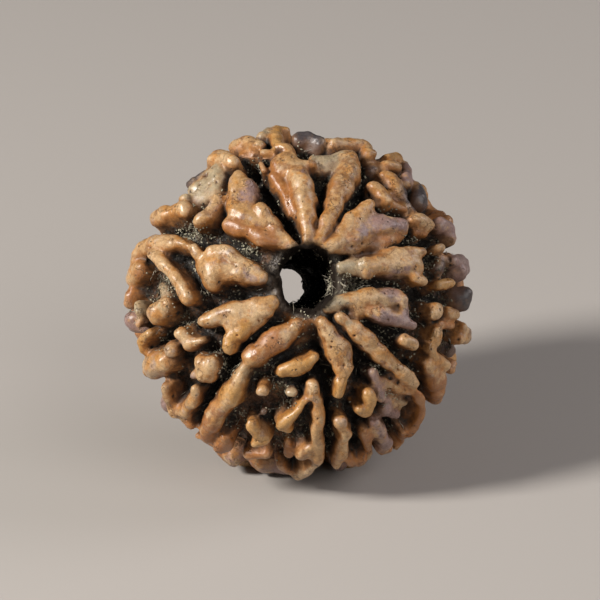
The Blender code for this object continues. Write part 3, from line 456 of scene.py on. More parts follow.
@dataclass(frozen=True)
class Bench:
    """A node tree on the work bench, with short calls that add a node and hand back what it gives."""

    tree: bpy.types.NodeTree

    def add(
        self, kind: str, feeds: dict[str | int, Feed] | None = None, **settings: object
    ) -> bpy.types.Node:
        """Add a node.

        Args:
            kind: The node's type.
            feeds: What goes into its inputs, by name or number.
            **settings: Its own properties.

        Returns:
            The new node.
        """
        node = self.tree.nodes.new(kind)
        for name, value in settings.items():
            setattr(node, name, value)
        for key, value in (feeds or {}).items():
            self.feed(node.inputs[key], value)
        return node

    def wire(
        self, kind: str, feeds: dict[str | int, Feed] | None = None, output: str | int = 0, **settings: object
    ) -> Wire:
        """Add a node of which one output is wanted.

        Args:
            kind: The node's type.
            feeds: What goes into its inputs, by name or number.
            output: The output's name or number.
            **settings: The node's own properties.

        Returns:
            The output.
        """
        return Wire(self, self.add(kind, feeds, **settings).outputs[output])

    def feed(self, socket: bpy.types.NodeSocket, value: Feed) -> None:
        """Link an output to an input, or set the input's own value.

        Args:
            socket: The input.
            value: The output or the value.
        """
        if isinstance(value, Wire):
            value = value.socket
        if isinstance(value, bpy.types.NodeSocket):
            self.tree.links.new(value, socket)
        else:
            socket.default_value = value

    def math(self, operation: str, first: Feed, second: Feed = 0.0) -> Wire:
        """Combine two numbers and return the result."""
        return self.wire("ShaderNodeMath", {0: first, 1: second}, operation=operation)

    def highest(self, first: Feed, second: Feed) -> Wire:
        """Return the higher of two numbers."""
        return self.math("MAXIMUM", first, second)

    def vector(self, operation: str, first: Feed, second: Feed) -> Wire:
        """Combine two vectors and return the result."""
        return self.wire("ShaderNodeVectorMath", {0: first, 1: second}, operation=operation)

    def stretch(self, place: Feed, size: Feed) -> Wire:
        """Multiply a vector by a number and return the result."""
        return self.wire("ShaderNodeVectorMath", {0: place, "Scale": size}, operation="SCALE")

    def stored(self, name: str, kind: str = "FLOAT") -> Wire:
        """Return what a mesh keeps for each vertex under a name, for a Geometry Nodes tree."""
        return self.wire("GeometryNodeInputNamedAttribute", {"Name": name}, data_type=kind)

    def noise(
        self, place: Feed, scale: Feed, detail: float = 2.0, roughness: float = 0.5, seed: Feed = 0.0
    ) -> Wire:
        """Make a noise pattern.

        Args:
            place: Where it is read.
            scale: How many waves a unit.
            detail: How many finer layers it has.
            roughness: How strong the finer layers are.
            seed: The fourth coordinate, which picks the pattern.

        Returns:
            Its factor, mostly from 0.3 to 0.7.
        """
        feeds = {"Vector": place, "W": seed, "Scale": scale, "Detail": detail, "Roughness": roughness}
        return self.wire("ShaderNodeTexNoise", feeds, "Fac", noise_dimensions="4D")

    def drift(self, place: Feed, scale: float, detail: float) -> Wire:
        """Return a vector that varies from place to place, each part of it mostly from 0.3 to 0.7."""
        return self.wire("ShaderNodeTexNoise", {"Vector": place, "Scale": scale, "Detail": detail}, "Color")

    def ramp(self, value: Feed, low: float, high: float, start: Feed = 0.0, end: Feed = 1.0) -> Wire:
        """Turn a range of a number smoothly into another range.

        Args:
            value: The number.
            low: Where the range starts.
            high: Where the range ends.
            start: The result at and below the start.
            end: The result at and above the end.

        Returns:
            The result.
        """
        feeds = {"Value": value, "From Min": low, "From Max": high, "To Min": start, "To Max": end}
        return self.wire("ShaderNodeMapRange", feeds, interpolation_type="SMOOTHSTEP")

    def mix(self, share: Feed, first: Feed, second: Feed, blend: str = "MIX") -> Wire:
        """Mix two colours.

        Args:
            share: How much of the second colour.
            first: The first colour.
            second: The second colour.
            blend: How they are mixed.

        Returns:
            The mixed colour.
        """
        feeds = {0: share, 6: first, 7: second}
        return self.wire("ShaderNodeMix", feeds, 2, data_type="RGBA", blend_type=blend)

    def millimetres(self) -> Wire:
        """Return the place on the object in millimetres, for a material."""
        place = self.wire("ShaderNodeTexCoord", output="Object")
        return self.wire("ShaderNodeMapping", {"Vector": place, "Scale": (1 / MM, 1 / MM, 1 / MM)})

    def join(self, *parts: Feed) -> Wire:
        """Return several geometries as one."""
        node = self.add("GeometryNodeJoinGeometry")
        for part in parts:
            self.feed(node.inputs[0], part)
        return Wire(self, node.outputs[0])


@dataclass
class Recipe:
    """A Geometry Nodes tree under way, with named inputs for its sizes."""

    name: str
    bench: Bench = field(init=False)
    values: dict[str, object] = field(init=False, default_factory=dict)
    source: bpy.types.Node = field(init=False)

    def __post_init__(self) -> None:
        """Start the tree with a geometry input and output."""
        tree = bpy.data.node_groups.new(self.name, "GeometryNodeTree")
        tree.interface.new_socket("Geometry", in_out="INPUT", socket_type="NodeSocketGeometry")
        tree.interface.new_socket("Geometry", in_out="OUTPUT", socket_type="NodeSocketGeometry")
        self.bench = Bench(tree)
        self.source = tree.nodes.new("NodeGroupInput")

    def ask(self, name: str, value: object) -> Wire:
        """Add a named input.

        Args:
            name: Its name.
            value: What this object gives it.

        Returns:
            What the tree reads it from.
        """
        kinds = {float: "NodeSocketFloat", int: "NodeSocketInt", bpy.types.Material: "NodeSocketMaterial",
                 bpy.types.Object: "NodeSocketObject"}
        self.bench.tree.interface.new_socket(name, in_out="INPUT", socket_type=kinds[type(value)])
        self.values[name] = value
        return Wire(self.bench, self.source.outputs[name])

    def finish(self, geometry: Wire, material: bpy.types.Material) -> None:
        """End the tree in real geometry that wears a material.

        Args:
            geometry: What the tree has made.
            material: What it wears.
        """
        real = self.bench.wire("GeometryNodeRealizeInstances", {"Geometry": geometry})
        worn = self.ask("Material", material)
        dressed = self.bench.wire("GeometryNodeSetMaterial", {"Geometry": real, "Material": worn})
        self.bench.add("NodeGroupOutput", {0: dressed})

    def put_on(self, item: bpy.types.Object) -> None:
        """Add the tree to an object as a modifier and set its inputs.

        Args:
            item: The object.
        """
        modifier = item.modifiers.new(self.name, "NODES")
        modifier.node_group = self.bench.tree
        for socket in self.bench.tree.interface.items_tree:
            if socket.in_out == "INPUT" and socket.name in self.values:
                modifier[socket.identifier] = self.values[socket.name]


@dataclass(frozen=True)
class StoneForm:
    """The outer form that the tops of the ridges touch, and the pose in which the bead lies."""

    radius: float = 11.0
    half_length: float = 8.5
    power: float = 2.3
    axis_right: float = radians(5.0)
    axis_up: float = radians(7.0)
    face_rise: float = radians(25.0)
    rest_height: float = 10.2
    seam_start: float = radians(15.0)
    seam_end: float = radians(50.0)

    def axes(self) -> tuple[Vector, Vector, Vector]:
        """Find the bead's own directions on the face frame.

        Returns:
            Its right, its up and its axis.
        """
        axis = Vector((sin(self.axis_right), sin(self.axis_up), 0.0))
        axis.z = (1.0 - axis.length_squared) ** 0.5
        up = (Vector((0.0, 1.0, 0.0)) - axis * axis.y).normalized()
        return up.cross(axis), up, axis

    def excess(self, points: np.ndarray, inset: np.ndarray | float) -> np.ndarray:
        """Tell how far points lie outside the form shrunk by an inset.

        Args:
            points: One row for each point.
            inset: How much the form is shrunk, for all or for each.

        Returns:
            One number a point, below zero inside.
        """
        axis = np.array(self.axes()[2])
        height = points @ axis
        radius = np.linalg.norm(points - np.outer(height, axis), axis=1)
        around = (radius / (self.radius - inset)) ** self.power
        along = (np.abs(height) / (self.half_length - inset)) ** self.power
        return around + along - 1.0

    def normals(self, points: np.ndarray) -> np.ndarray:
        """Find the directions that lead straight out of the form.

        Args:
            points: One row for each point.

        Returns:
            One unit vector a point.
        """
        axis = np.array(self.axes()[2])
        height = points @ axis
        outward = points - np.outer(height, axis)
        radius = np.maximum(np.linalg.norm(outward, axis=1), 1e-6)
        around = (radius / self.radius) ** (self.power - 1.0) / self.radius
        along = (np.abs(height) / self.half_length) ** (self.power - 1.0) / self.half_length
        slope = outward * (around / radius)[:, None] + np.outer(along * np.sign(height), axis)
        return slope / np.linalg.norm(slope, axis=1)[:, None]

    def meet(
        self, starts: np.ndarray, way: np.ndarray, reach: float, inset: np.ndarray | float
    ) -> np.ndarray:
        """Find where lines leave the shrunk form.

        Args:
            starts: Where each line starts, inside the form.
            way: Where each line runs.
            reach: A length that surely leads outside.
            inset: How much the form is shrunk.

        Returns:
            The points, one row a line.
        """
        low = np.zeros(len(starts))
        high = np.full(len(starts), reach)
        for _ in range(40):
            middle = (low + high) / 2
            outside = self.excess(starts + way * middle[:, None], inset) > 0.0
            high = np.where(outside, middle, high)
            low = np.where(outside, low, middle)
        return starts + way * low[:, None]

    def face_points(self, places: np.ndarray, inset: np.ndarray | float) -> np.ndarray:
        """Raise places on the face to the shrunk form.

        Args:
            places: One row of (right, up) for each place.
            inset: How much the form is shrunk.

        Returns:
            The points, one row a place.
        """
        starts = np.column_stack((places, np.zeros(len(places))))
        way = np.tile((0.0, 0.0, 1.0), (len(places), 1))
        return self.meet(starts, way, self.half_length + 2.0, inset)

    def round_point(self, bearing: float, colatitude: float, inset: float) -> np.ndarray:
        """Find the point of the shrunk form at a bearing and an angle from the near mouth.

        Args:
            bearing: Anticlockwise from the bead's right.
            colatitude: The angle from the near mouth.
            inset: How much the form is shrunk.

        Returns:
            The point.
        """
        right, up, axis = self.axes()
        way = axis * cos(colatitude) + (right * cos(bearing) + up * sin(bearing)) * sin(colatitude)
        return self.meet(np.zeros((1, 3)), np.array([way]), self.radius * 1.2, inset)[0]

    def depths(self, points: np.ndarray) -> np.ndarray:
        """Measure how far points lie below the outer form.

        Args:
            points: One row for each point.

        Returns:
            One depth a point, in millimetres.
        """
        low = np.full(len(points), -1.0)
        high = np.full(len(points), self.half_length - 0.5)
        for _ in range(30):
            middle = (low + high) / 2
            outside = self.excess(points, middle) > 0.0
            high = np.where(outside, middle, high)
            low = np.where(outside, low, middle)
        return low

    def seam_bearing(self, seam: int, colatitude: float) -> float:
        """Find where a seam runs.

        Args:
            seam: Its number.
            colatitude: The angle from the near mouth.

        Returns:
            Its bearing there.
        """
        start, end = SEAMS[seam]
        share = (colatitude - self.seam_start) / (self.seam_end - self.seam_start)
        return radians(start + (end - start) * min(max(share, 0.0), 1.0))

    def lying_turn(self) -> Matrix:
        """Return the turn that takes the face frame to the pose in which the bead lies."""
        return Matrix.Rotation(pi / 2 - self.face_rise, 4, "X")

    def lying_place(self) -> Matrix:
        """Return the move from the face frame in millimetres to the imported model's frame in metres."""
        height = Matrix.Translation((0.0, 0.0, self.rest_height))
        return Matrix.Scale(MM, 4) @ height @ self.lying_turn()


@dataclass(frozen=True)
class Station:
    """One place on a ridge's centre line."""

    crest: np.ndarray
    half_width: float
    tone: Tone
    shade: float


@dataclass
class RidgePlan:
    """Where every ridge of the stone runs: those of the face, of the foot and behind."""

    form: StoneForm
    seed: int = 11
    first_row: float = radians(78.0)
    last_row: float = radians(166.0)
    row_step: float = radians(11.0)
    behind: float = -0.5
    spacing: float = 2.05
    margin: float = 0.55
    widths: tuple[float, float] = (0.5, 0.9)
    sinks: tuple[float, float] = (0.0, 0.35)
    wander: float = 0.38
    link_along: float = 0.6
    link_across: float = 0.3
    dips: tuple[Place, ...] = ((-8, 28, 0.5), (75, 105, 0.4), (122, 158, 1.1))
    dip_full: float = radians(95.0)
    dip_end: float = radians(125.0)
    foot_wear: float = 0.4
    tone_seed: int = 5

    def __post_init__(self) -> None:
        """Start the draw of tones, which is apart from the draw of places."""
        self.tone_draw = random.Random(self.tone_seed)

    def any_tone(self) -> Tone:
        """Draw a tone for a ridge that doesn't show on the face."""
        # Random tones, weighted towards the darker russet and plum as painted shade for the back and
        # underside
        tones = (Tone.HONEY, Tone.OCHRE, Tone.RUSSET, Tone.PLUM)
        return self.tone_draw.choices(tones, weights=(4, 1, 5, 3))[0]

    def face_ridges(self) -> list[list[Station]]:
        """Lay out the ridges that show on the face.

        Returns:
            Each of the face's ridges as its stations.
        """
        ridges = []
        for ridge in FACE_RIDGES:
            values = np.array(ridge.stations)
            crests = self.form.face_points(values[:, :2], values[:, 2] + ridge.sink)
            shade = self.tone_draw.random()
            line = [Station(c, w, ridge.tone, shade) for c, w in zip(crests, values[:, 2])]
            ridges.append(line)
        return ridges

    def foot_ridges(self) -> list[list[Station]]:
        """Lay out the low ridges that reach a little below the ground.

        Returns:
            Each of them as its stations.
        """
        back = self.form.lying_turn().inverted()
        ridges = []
        for places in FOOT_RIDGES:
            line = []
            for right, behind, half_width in places:
                height = half_width - self.foot_wear - self.form.rest_height
                crest = np.array(back @ Vector((right, behind, height)))
                line.append(Station(crest, half_width, Tone.HONEY, 0.5))
            ridges.append(line)
        return ridges

    def back_rows(self, draw: random.Random) -> list[list[list[tuple[float, float]]]]:
        """Lay out the places behind the face.

        Args:
            draw: The seeded draw.

        Returns:
            For each segment its rows of (bearing, colatitude).
        """
        segments = []
        for seam in range(len(SEAMS)):
            rows = []
            colatitude = self.first_row
            while colatitude < self.last_row:
                point = Vector(self.form.round_point(0.0, colatitude, 0.0))
                radius = point.cross(self.form.axes()[2]).length
                start = self.form.seam_bearing(seam, colatitude)
                end = self.form.seam_bearing((seam + 1) % len(SEAMS), colatitude)
                if end < start:
                    end += 2 * pi
                width = (end - start) * radius - 2 * self.margin
                count = max(1, round(width / self.spacing))
                row = []
                for index in range(count):
                    offset = self.margin + width * (index + 0.5) / count
                    bearing = start + (offset + draw.uniform(-self.wander, self.wander)) / radius
                    drift = draw.uniform(-self.wander, self.wander) / self.form.radius
                    row.append((bearing, colatitude + drift))
                rows.append(row)
                colatitude += self.row_step
            segments.append(rows)
        return segments

    def back_dip(self, bearing: float, colatitude: float) -> float:
        """Find how much deeper a ridge is sunk where the outline just in front of it is drawn in.

        Args:
            bearing: Anticlockwise from the bead's right.
            colatitude: The angle from the near mouth.

        Returns:
            The extra sink in millimetres.
        """
        fade = min(max((self.dip_end - colatitude) / (self.dip_end - self.dip_full), 0.0), 1.0)
        for start, end, sink in self.dips:
            if (degrees(bearing) - start) % 360 < end - start:
                return sink * fade
        return 0.0

    def back_ridges(self) -> list[list[Station]]:
        """Lay out the ridges behind the face, by the seeded rule.

        Returns:
            Each of them as its stations.
        """
        draw = random.Random(self.seed)
        ridges = []
        for rows in self.back_rows(draw):
            placed = []
            for row in rows:
                line = []
                for bearing, colatitude in row:
                    half_width = draw.uniform(*self.widths)
                    sink = draw.uniform(*self.sinks) + self.back_dip(bearing, colatitude)
                    crest = self.form.round_point(bearing, colatitude, half_width + sink)
                    line.append(Station(crest, half_width, self.any_tone(), self.tone_draw.random()))
                placed.append([station for station in line if station.crest[2] < self.behind])
            for number, line in enumerate(placed):
                for index, station in enumerate(line):
                    ridges.append([station])
                    below = placed[number + 1] if number + 1 < len(placed) else []
                    if below and draw.random() < self.link_along:
                        ridges.append([station, below[min(index, len(below) - 1)]])
                    if index + 1 < len(line) and draw.random() < self.link_across:
                        ridges.append([station, line[index + 1]])
        return ridges

    def ridges(self) -> list[list[Station]]:
        """Return every ridge of the stone."""
        return self.face_ridges() + self.foot_ridges() + self.back_ridges()


@dataclass(frozen=True)
class Weathering:
    """How uneven the stone's surface is: heights in millimetres, and how many of each lie on a millimetre."""

    lump_height: float = 0.16
    lumps: float = 0.55
    bulge_height: float = 0.3
    bulges: float = 0.75
    bulge_middle: float = 0.42
    bulge_warp: float = 1.2
    bump_height: float = 0.06
    bumps: float = 1.7
    crust_height: float = 0.16
    crust_grains: float = 3.2
    crust_from: float = 0.9
    crust_full: float = 1.9
    pit_depth: float = 0.09
    pits: float = 1.5

    def recipe(self, material: bpy.types.Material) -> Recipe:
        """Write the tree that makes the smooth surface uneven: bumps, furrows and small pits.

        Args:
            material: What the result wears.

        Returns:
            The finished recipe.
        """
        recipe = Recipe("weather")
        bench = recipe.bench
        lump = recipe.ask("Lump Height", self.lump_height)
        lump_scale = recipe.ask("Lumps a Millimetre", self.lumps)
        bulge = recipe.ask("Bulge Height", self.bulge_height)
        bulge_scale = recipe.ask("Bulges a Millimetre", self.bulges)
        bump = recipe.ask("Bump Height", self.bump_height)
        bump_scale = recipe.ask("Bumps a Millimetre", self.bumps)
        crust = recipe.ask("Crust Height", self.crust_height)
        crust_scale = recipe.ask("Crust Grains a Millimetre", self.crust_grains)
        pit = recipe.ask("Pit Depth", self.pit_depth)
        pit_scale = recipe.ask("Pits a Millimetre", self.pits)
        where = bench.wire("GeometryNodeInputPosition")
        outward = bench.wire("GeometryNodeInputNormal")
        large = (bench.noise(where, lump_scale, 1.0) - 0.5) * lump
        small = (bench.noise(where, bump_scale, 2.0, 0.5, 3.0) - 0.5) * bump
        grain = (bench.noise(where, crust_scale, 2.0, 0.6, 7.0) - 0.5) * crust
        grain = grain * bench.ramp(bench.stored("depth"), self.crust_from, self.crust_full)
        spots = {"Vector": where, "Scale": pit_scale}
        cells = bench.wire("ShaderNodeTexVoronoi", spots, "Distance", feature="F1")
        sparse = bench.ramp(bench.noise(where, 0.5, 1.0, 0.5, 11.0), 0.5, 0.62)
        hollow = bench.ramp(cells, 0.05, 0.2, 1.0, 0.0) * sparse * pit
        bent = bench.vector("ADD", where, bench.stretch(bench.drift(where, 0.8, 2.0), self.bulge_warp))
        feeds = {"Vector": bent, "Scale": bulge_scale, "Smoothness": 0.12}
        swell = self.bulge_middle - bench.wire("ShaderNodeTexVoronoi", feeds, "Distance", feature="SMOOTH_F1")
        height = (large + small + grain - hollow) * 2.0 + swell * bulge
        feeds = {"Geometry": recipe.source.outputs["Geometry"], "Offset": bench.stretch(outward, height)}
        recipe.finish(bench.wire("GeometryNodeSetPosition", feeds), material)
        return recipe


@dataclass
class StoneBody:
    """The stone itself: ridges fused to a core with ten sunk seams, weathered and dressed."""

    form: StoneForm
    plan: RidgePlan
    weathering: Weathering = Weathering()
    ball_steps: int = 3
    stalk_sides: int = 14
    core_depth: float = 1.75
    collar_depth: float = 0.9
    collar_angle: float = radians(14.0)
    collar_fade: float = radians(16.0)
    seam_depth: float = 0.75
    seam_half_width: float = 0.55
    core_roughness: float = 0.18
    core_segments: int = 160
    core_rings: int = 100
    root_depth: float = 1.9
    root_flare: float = 1.25
    softening_loss: float = 0.04
    step: float = 0.16
    swelling: float = 0.12
    swelling_scale: float = 1.3
    voxel: float = 0.105
    smooth_steps: int = 5
    smooth_factor: float = 0.5
    near_mouth: Place = (0.62, 1.5, 8.6)
    near_mouth_size: tuple[float, float] = (1.72, 2.05)
    far_mouth: Place = (-0.9, 0.95, -9.0)
    far_mouth_size: tuple[float, float] = (1.1, 1.1)
    mouth_sides: int = 64
    mouth_rings: int = 90
    mouth_roughness: float = 0.22
    collar_outer: float = 2.9
    collar_width: float = 0.8
    bore_limit: float = 1.22
    bore_fade: float = 0.15
    triangles: int = 185000
    bend_steps: int = 8
    rays: int = 14
    ray_reach: float = 3.2

    def core_depths(self, point: Vector) -> float:
        """Find how far the core lies below the outer form.

        Args:
            point: A point of the outer form.

        Returns:
            The depth there.
        """
        right, up, axis = self.form.axes()
        colatitude = point.angle(axis)
        bearing = np.arctan2(point.dot(up), point.dot(right))
        radius = (point - axis * point.dot(axis)).length
        from_pole = min(colatitude, pi - colatitude)
        share = min(max((from_pole - self.collar_angle) / self.collar_fade, 0.0), 1.0)
        depth = self.collar_depth + (self.core_depth - self.collar_depth) * share
        for seam in range(len(SEAMS)):
            turn = (bearing - self.form.seam_bearing(seam, colatitude) + pi) % (2 * pi) - pi
            offset = radius * turn / self.seam_half_width
            if abs(offset) < 4.0:
                depth += self.seam_depth * share * np.exp(-offset * offset)
        return depth + self.core_roughness * noise.noise(point * 1.1)

    def make_core(self) -> bpy.types.Object:
        """Build the rounded core with its ten sunk seams.

        Returns:
            The core, on the face frame in millimetres.
        """
        right, up, axis = self.form.axes()
        shape = bmesh.new()
        bmesh.ops.create_uvsphere(
            shape, u_segments=self.core_segments, v_segments=self.core_rings, radius=1.0)
        balls = np.array([vert.co for vert in shape.verts])
        ways = balls @ np.array((right, up, axis))
        points = self.form.meet(np.zeros_like(ways), ways, self.form.radius * 1.2, 0.0)
        outward = self.form.normals(points)
        for vert, point, way in zip(shape.verts, points, outward):
            vert.co = point - way * self.core_depths(Vector(point))
        mesh = bpy.data.meshes.new("core")
        shape.to_mesh(mesh)
        shape.free()
        return add_object("core", mesh)

    def make_centre_lines(self, ridges: list[list[Station]]) -> bpy.types.Object:
        """Build the ridges' centre lines, which carry each place's half width and inward direction.

        Args:
            ridges: Every ridge as its stations.

        Returns:
            A mesh of loose lines.
        """
        crests = [station.crest for line in ridges for station in line]
        edges = []
        start = 0
        for line in ridges:
            edges += [(start + index, start + index + 1) for index in range(len(line) - 1)]
            start += len(line)
        mesh = bpy.data.meshes.new("centre_lines")
        mesh.from_pydata([tuple(crest) for crest in crests], edges, [])
        widths = [station.half_width for line in ridges for station in line]
        write_share(mesh, "half_width", np.array(widths))
        inward = mesh.attributes.new("inward", "FLOAT_VECTOR", "POINT")
        inward.data.foreach_set("vector", (-self.form.normals(np.array(crests))).ravel())
        return add_object("centre_lines", mesh)

    def ridge_recipe(self, core: bpy.types.Object, material: bpy.types.Material) -> Recipe:
        """Write the tree that raises ridges along the centre lines and joins them to the core.

        Args:
            core: The core that they stand on.
            material: What the result wears.

        Returns:
            The finished recipe.
        """
        recipe = Recipe("raise_ridges")
        bench = recipe.bench
        step = recipe.ask("Step", self.step)
        root_depth = recipe.ask("Root Depth", self.root_depth)
        root_flare = recipe.ask("Root Flare", self.root_flare)
        loss = recipe.ask("Softening Loss", self.softening_loss)
        swelling = recipe.ask("Swelling", self.swelling)
        swelling_scale = recipe.ask("Swelling Scale", self.swelling_scale)
        base = recipe.ask("Core", core)
        lines = recipe.source.outputs["Geometry"]
        runs = bench.wire("GeometryNodeMeshToCurve", {"Mesh": lines})
        spaced = bench.wire("GeometryNodeResampleCurve", {"Curve": runs, "Length": step}, mode="LENGTH")
        places = bench.join(spaced, lines)
        lumps = bench.noise(bench.wire("GeometryNodeInputPosition"), swelling_scale, 1.0) - 0.5
        swell = 1.0 + lumps * 4.0 * swelling
        radius = (bench.stored("half_width") + loss) * swell
        ball = bench.wire("GeometryNodeMeshIcoSphere", {"Radius": 1.0, "Subdivisions": self.ball_steps})
        crests = bench.wire(
            "GeometryNodeInstanceOnPoints", {"Points": places, "Instance": ball, "Scale": radius})
        sizes = {
            "Vertices": self.stalk_sides, "Radius Top": root_flare, "Radius Bottom": 1.0, "Depth": root_depth}
        stalk = bench.wire("GeometryNodeMeshCone", sizes)
        inward = bench.stored("inward", "FLOAT_VECTOR")
        turn = bench.wire("FunctionNodeAlignRotationToVector", {"Vector": inward}, axis="Z")
        girth = bench.wire("ShaderNodeCombineXYZ", {"X": radius, "Y": radius, "Z": 1.0})
        feeds = {"Points": places, "Instance": stalk, "Rotation": turn, "Scale": girth}
        stalks = bench.wire("GeometryNodeInstanceOnPoints", feeds)
        body = bench.wire("GeometryNodeObjectInfo", {"Object": base}, "Geometry")
        recipe.finish(bench.join(crests, stalks, body), material)
        return recipe

    def make_channel(self) -> bpy.types.Object:
        """Build the shape of the natural hole, with uneven walls and flared mouths.

        Returns:
            The channel, longer than the stone.
        """
        shape = bmesh.new()
        bmesh.ops.create_cone(
            shape, cap_ends=True, segments=self.mouth_sides, radius1=1.0, radius2=1.0, depth=1.0
        )
        walls = [edge for edge in shape.edges if abs(edge.verts[0].co.z - edge.verts[1].co.z) > 0.5]
        bmesh.ops.subdivide_edges(shape, edges=walls, cuts=self.mouth_rings)
        near, far = Vector(self.near_mouth), Vector(self.far_mouth)
        for vert in shape.verts:
            share = vert.co.z + 0.5
            middle = far.lerp(near, share)
            half_width = self.far_mouth_size[0] + (self.near_mouth_size[0] - self.far_mouth_size[0]) * share
            half_height = self.far_mouth_size[1] + (self.near_mouth_size[1] - self.far_mouth_size[1]) * share
            place = middle + Vector((vert.co.x * half_width, vert.co.y * half_height, 0.0))
            wave = 1.0 + self.mouth_roughness * noise.noise(place * 0.9)
            vert.co = middle + (place - middle) * wave
        mesh = bpy.data.meshes.new("channel")
        shape.to_mesh(mesh)
        shape.free()
        return add_object("channel", mesh)

    def make_ground(self) -> bpy.types.Object:
        """Build the block that wears the lowest ridges flat, on the face frame.

        Returns:
            The block.
        """
        size = 2 * self.form.radius
        shape = bmesh.new()
        bmesh.ops.create_cube(shape, size=size)
        mesh = bpy.data.meshes.new("ground")
        shape.to_mesh(mesh)
        shape.free()
        below = Matrix.Translation((0.0, 0.0, -self.form.rest_height - size / 2))
        mesh.transform(self.form.lying_turn().inverted() @ below)
        return add_object("ground", mesh)

    def keep_outer_body(self, item: bpy.types.Object) -> None:
        """Drop sealed hollows and scraps, and keep the one body that holds the surface.

        Args:
            item: The stone.
        """
        mesh = item.data
        edges = np.empty(len(mesh.edges) * 2, dtype=np.int64)
        mesh.edges.foreach_get("vertices", edges)
        edges = edges.reshape(-1, 2)
        group = np.arange(len(mesh.vertices))
        while True:
            lowest = np.minimum(group[edges[:, 0]], group[edges[:, 1]])
            before = group.copy()
            np.minimum.at(group, edges[:, 0], lowest)
            np.minimum.at(group, edges[:, 1], lowest)
            group = group[group]
            if np.array_equal(before, group):
                break
        names, counts = np.unique(group, return_counts=True)
        keep = names[np.argmax(counts)]
        shape = bmesh.new()
        shape.from_mesh(mesh)
        shape.verts.ensure_lookup_table()
        scraps = [shape.verts[index] for index in np.flatnonzero(group != keep)]
        bmesh.ops.delete(shape, geom=scraps, context="VERTS")
        shape.to_mesh(mesh)
        shape.free()

    def cut(self, item: bpy.types.Object, cutter: bpy.types.Object) -> None:
        """Cut one shape out of the stone.

        Args:
            item: The stone.
            cutter: The shape.
        """
        difference = item.modifiers.new(cutter.name, "BOOLEAN")
        difference.operation = "DIFFERENCE"
        difference.solver = "MANIFOLD"
        difference.object = cutter

    def soften(self, item: bpy.types.Object, steps: int) -> None:
        """Add a modifier that rounds the surface off.

        Args:
            item: The stone.
            steps: How many times it is evened out.
        """
        smooth = item.modifiers.new("soften", "SMOOTH")
        smooth.factor = self.smooth_factor
        smooth.iterations = steps

    def make_surface(self, ridges: list[list[Station]], material: bpy.types.Material) -> bpy.types.Object:
        """Fuse the ridges to the core, open the hole, weather the surface and wear the foot flat.

        Args:
            ridges: Every ridge as its stations.
            material: What the stone wears.

        Returns:
            The stone on the face frame, in millimetres.
        """
        core = self.make_core()
        stone = self.make_centre_lines(ridges)
        stone.name = "stone"
        self.ridge_recipe(core, material).put_on(stone)
        even = stone.modifiers.new("even_out", "REMESH")
        even.mode = "VOXEL"
        even.voxel_size = self.voxel
        settle(stone)
        self.keep_outer_body(stone)
        channel = self.make_channel()
        self.cut(stone, channel)
        self.soften(stone, self.smooth_steps)
        settle(stone)
        write_share(stone.data, "depth", self.form.depths(point_array(stone.data, "co")))
        self.weathering.recipe(material).put_on(stone)
        ground = self.make_ground()
        self.cut(stone, ground)
        settle(stone)
        self.keep_outer_body(stone)
        stone.data.calc_loop_triangles()
        fewer = stone.modifiers.new("lighten", "DECIMATE")
        fewer.ratio = min(1.0, self.triangles / len(stone.data.loop_triangles))
        fewer.use_collapse_triangulate = True
        settle(stone)
        discard(core, channel, ground)
        return stone

    def shelter(self, mesh: bpy.types.Mesh) -> np.ndarray:
        """Measure how closed in each vertex is, by rays sent out around its normal.

        Args:
            mesh: The stone.

        Returns:
            For each vertex 0 in the open, up to 1 where every ray is stopped close by.
        """
        tree = BVHTree.FromPolygons([v.co for v in mesh.vertices], [p.vertices[:] for p in mesh.polygons])
        golden = pi * (3.0 - 5.0 ** 0.5)
        fan = []
        for index in range(self.rays):
            rise = (index + 0.5) / self.rays
            spread = (1.0 - rise * rise) ** 0.5
            fan.append(Vector((cos(golden * index) * spread, sin(golden * index) * spread, rise)))
        closed = np.zeros(len(mesh.vertices))
        for number, vert in enumerate(mesh.vertices):
            turn = vert.normal.to_track_quat("Z", "Y")
            start = vert.co + vert.normal * 0.03
            stopped = 0.0
            for way in fan:
                distance = tree.ray_cast(start, turn @ way, self.ray_reach)[3]
                if distance is not None:
                    stopped += 1.0 - 0.5 * distance / self.ray_reach
            closed[number] = stopped / self.rays
        return closed

    def hollowness(self, mesh: bpy.types.Mesh) -> np.ndarray:
        """Measure how the surface bends around each vertex.

        Args:
            mesh: The stone.

        Returns:
            For each vertex the bend in turns a millimetre: above zero in a crease, below it on a crest.
        """
        points, normals = point_array(mesh, "co"), point_array(mesh, "normal")
        edges = np.empty(len(mesh.edges) * 2, dtype=np.int64)
        mesh.edges.foreach_get("vertices", edges)
        first, second = edges.reshape(-1, 2).T
        span = points[second] - points[first]
        length = np.maximum(np.einsum("ij,ij->i", span, span), 1e-6)
        bend = np.einsum("ij,ij->i", span, normals[first] - normals[second]) / length
        count = np.bincount(edges, minlength=len(points))
        values = np.bincount(first, bend, len(points)) + np.bincount(second, bend, len(points))
        values /= np.maximum(count, 1)
        for _ in range(self.bend_steps):
            nearby = np.bincount(first, values[second], len(points))
            nearby += np.bincount(second, values[first], len(points))
            values = (values + nearby) / (count + 1)
        return values

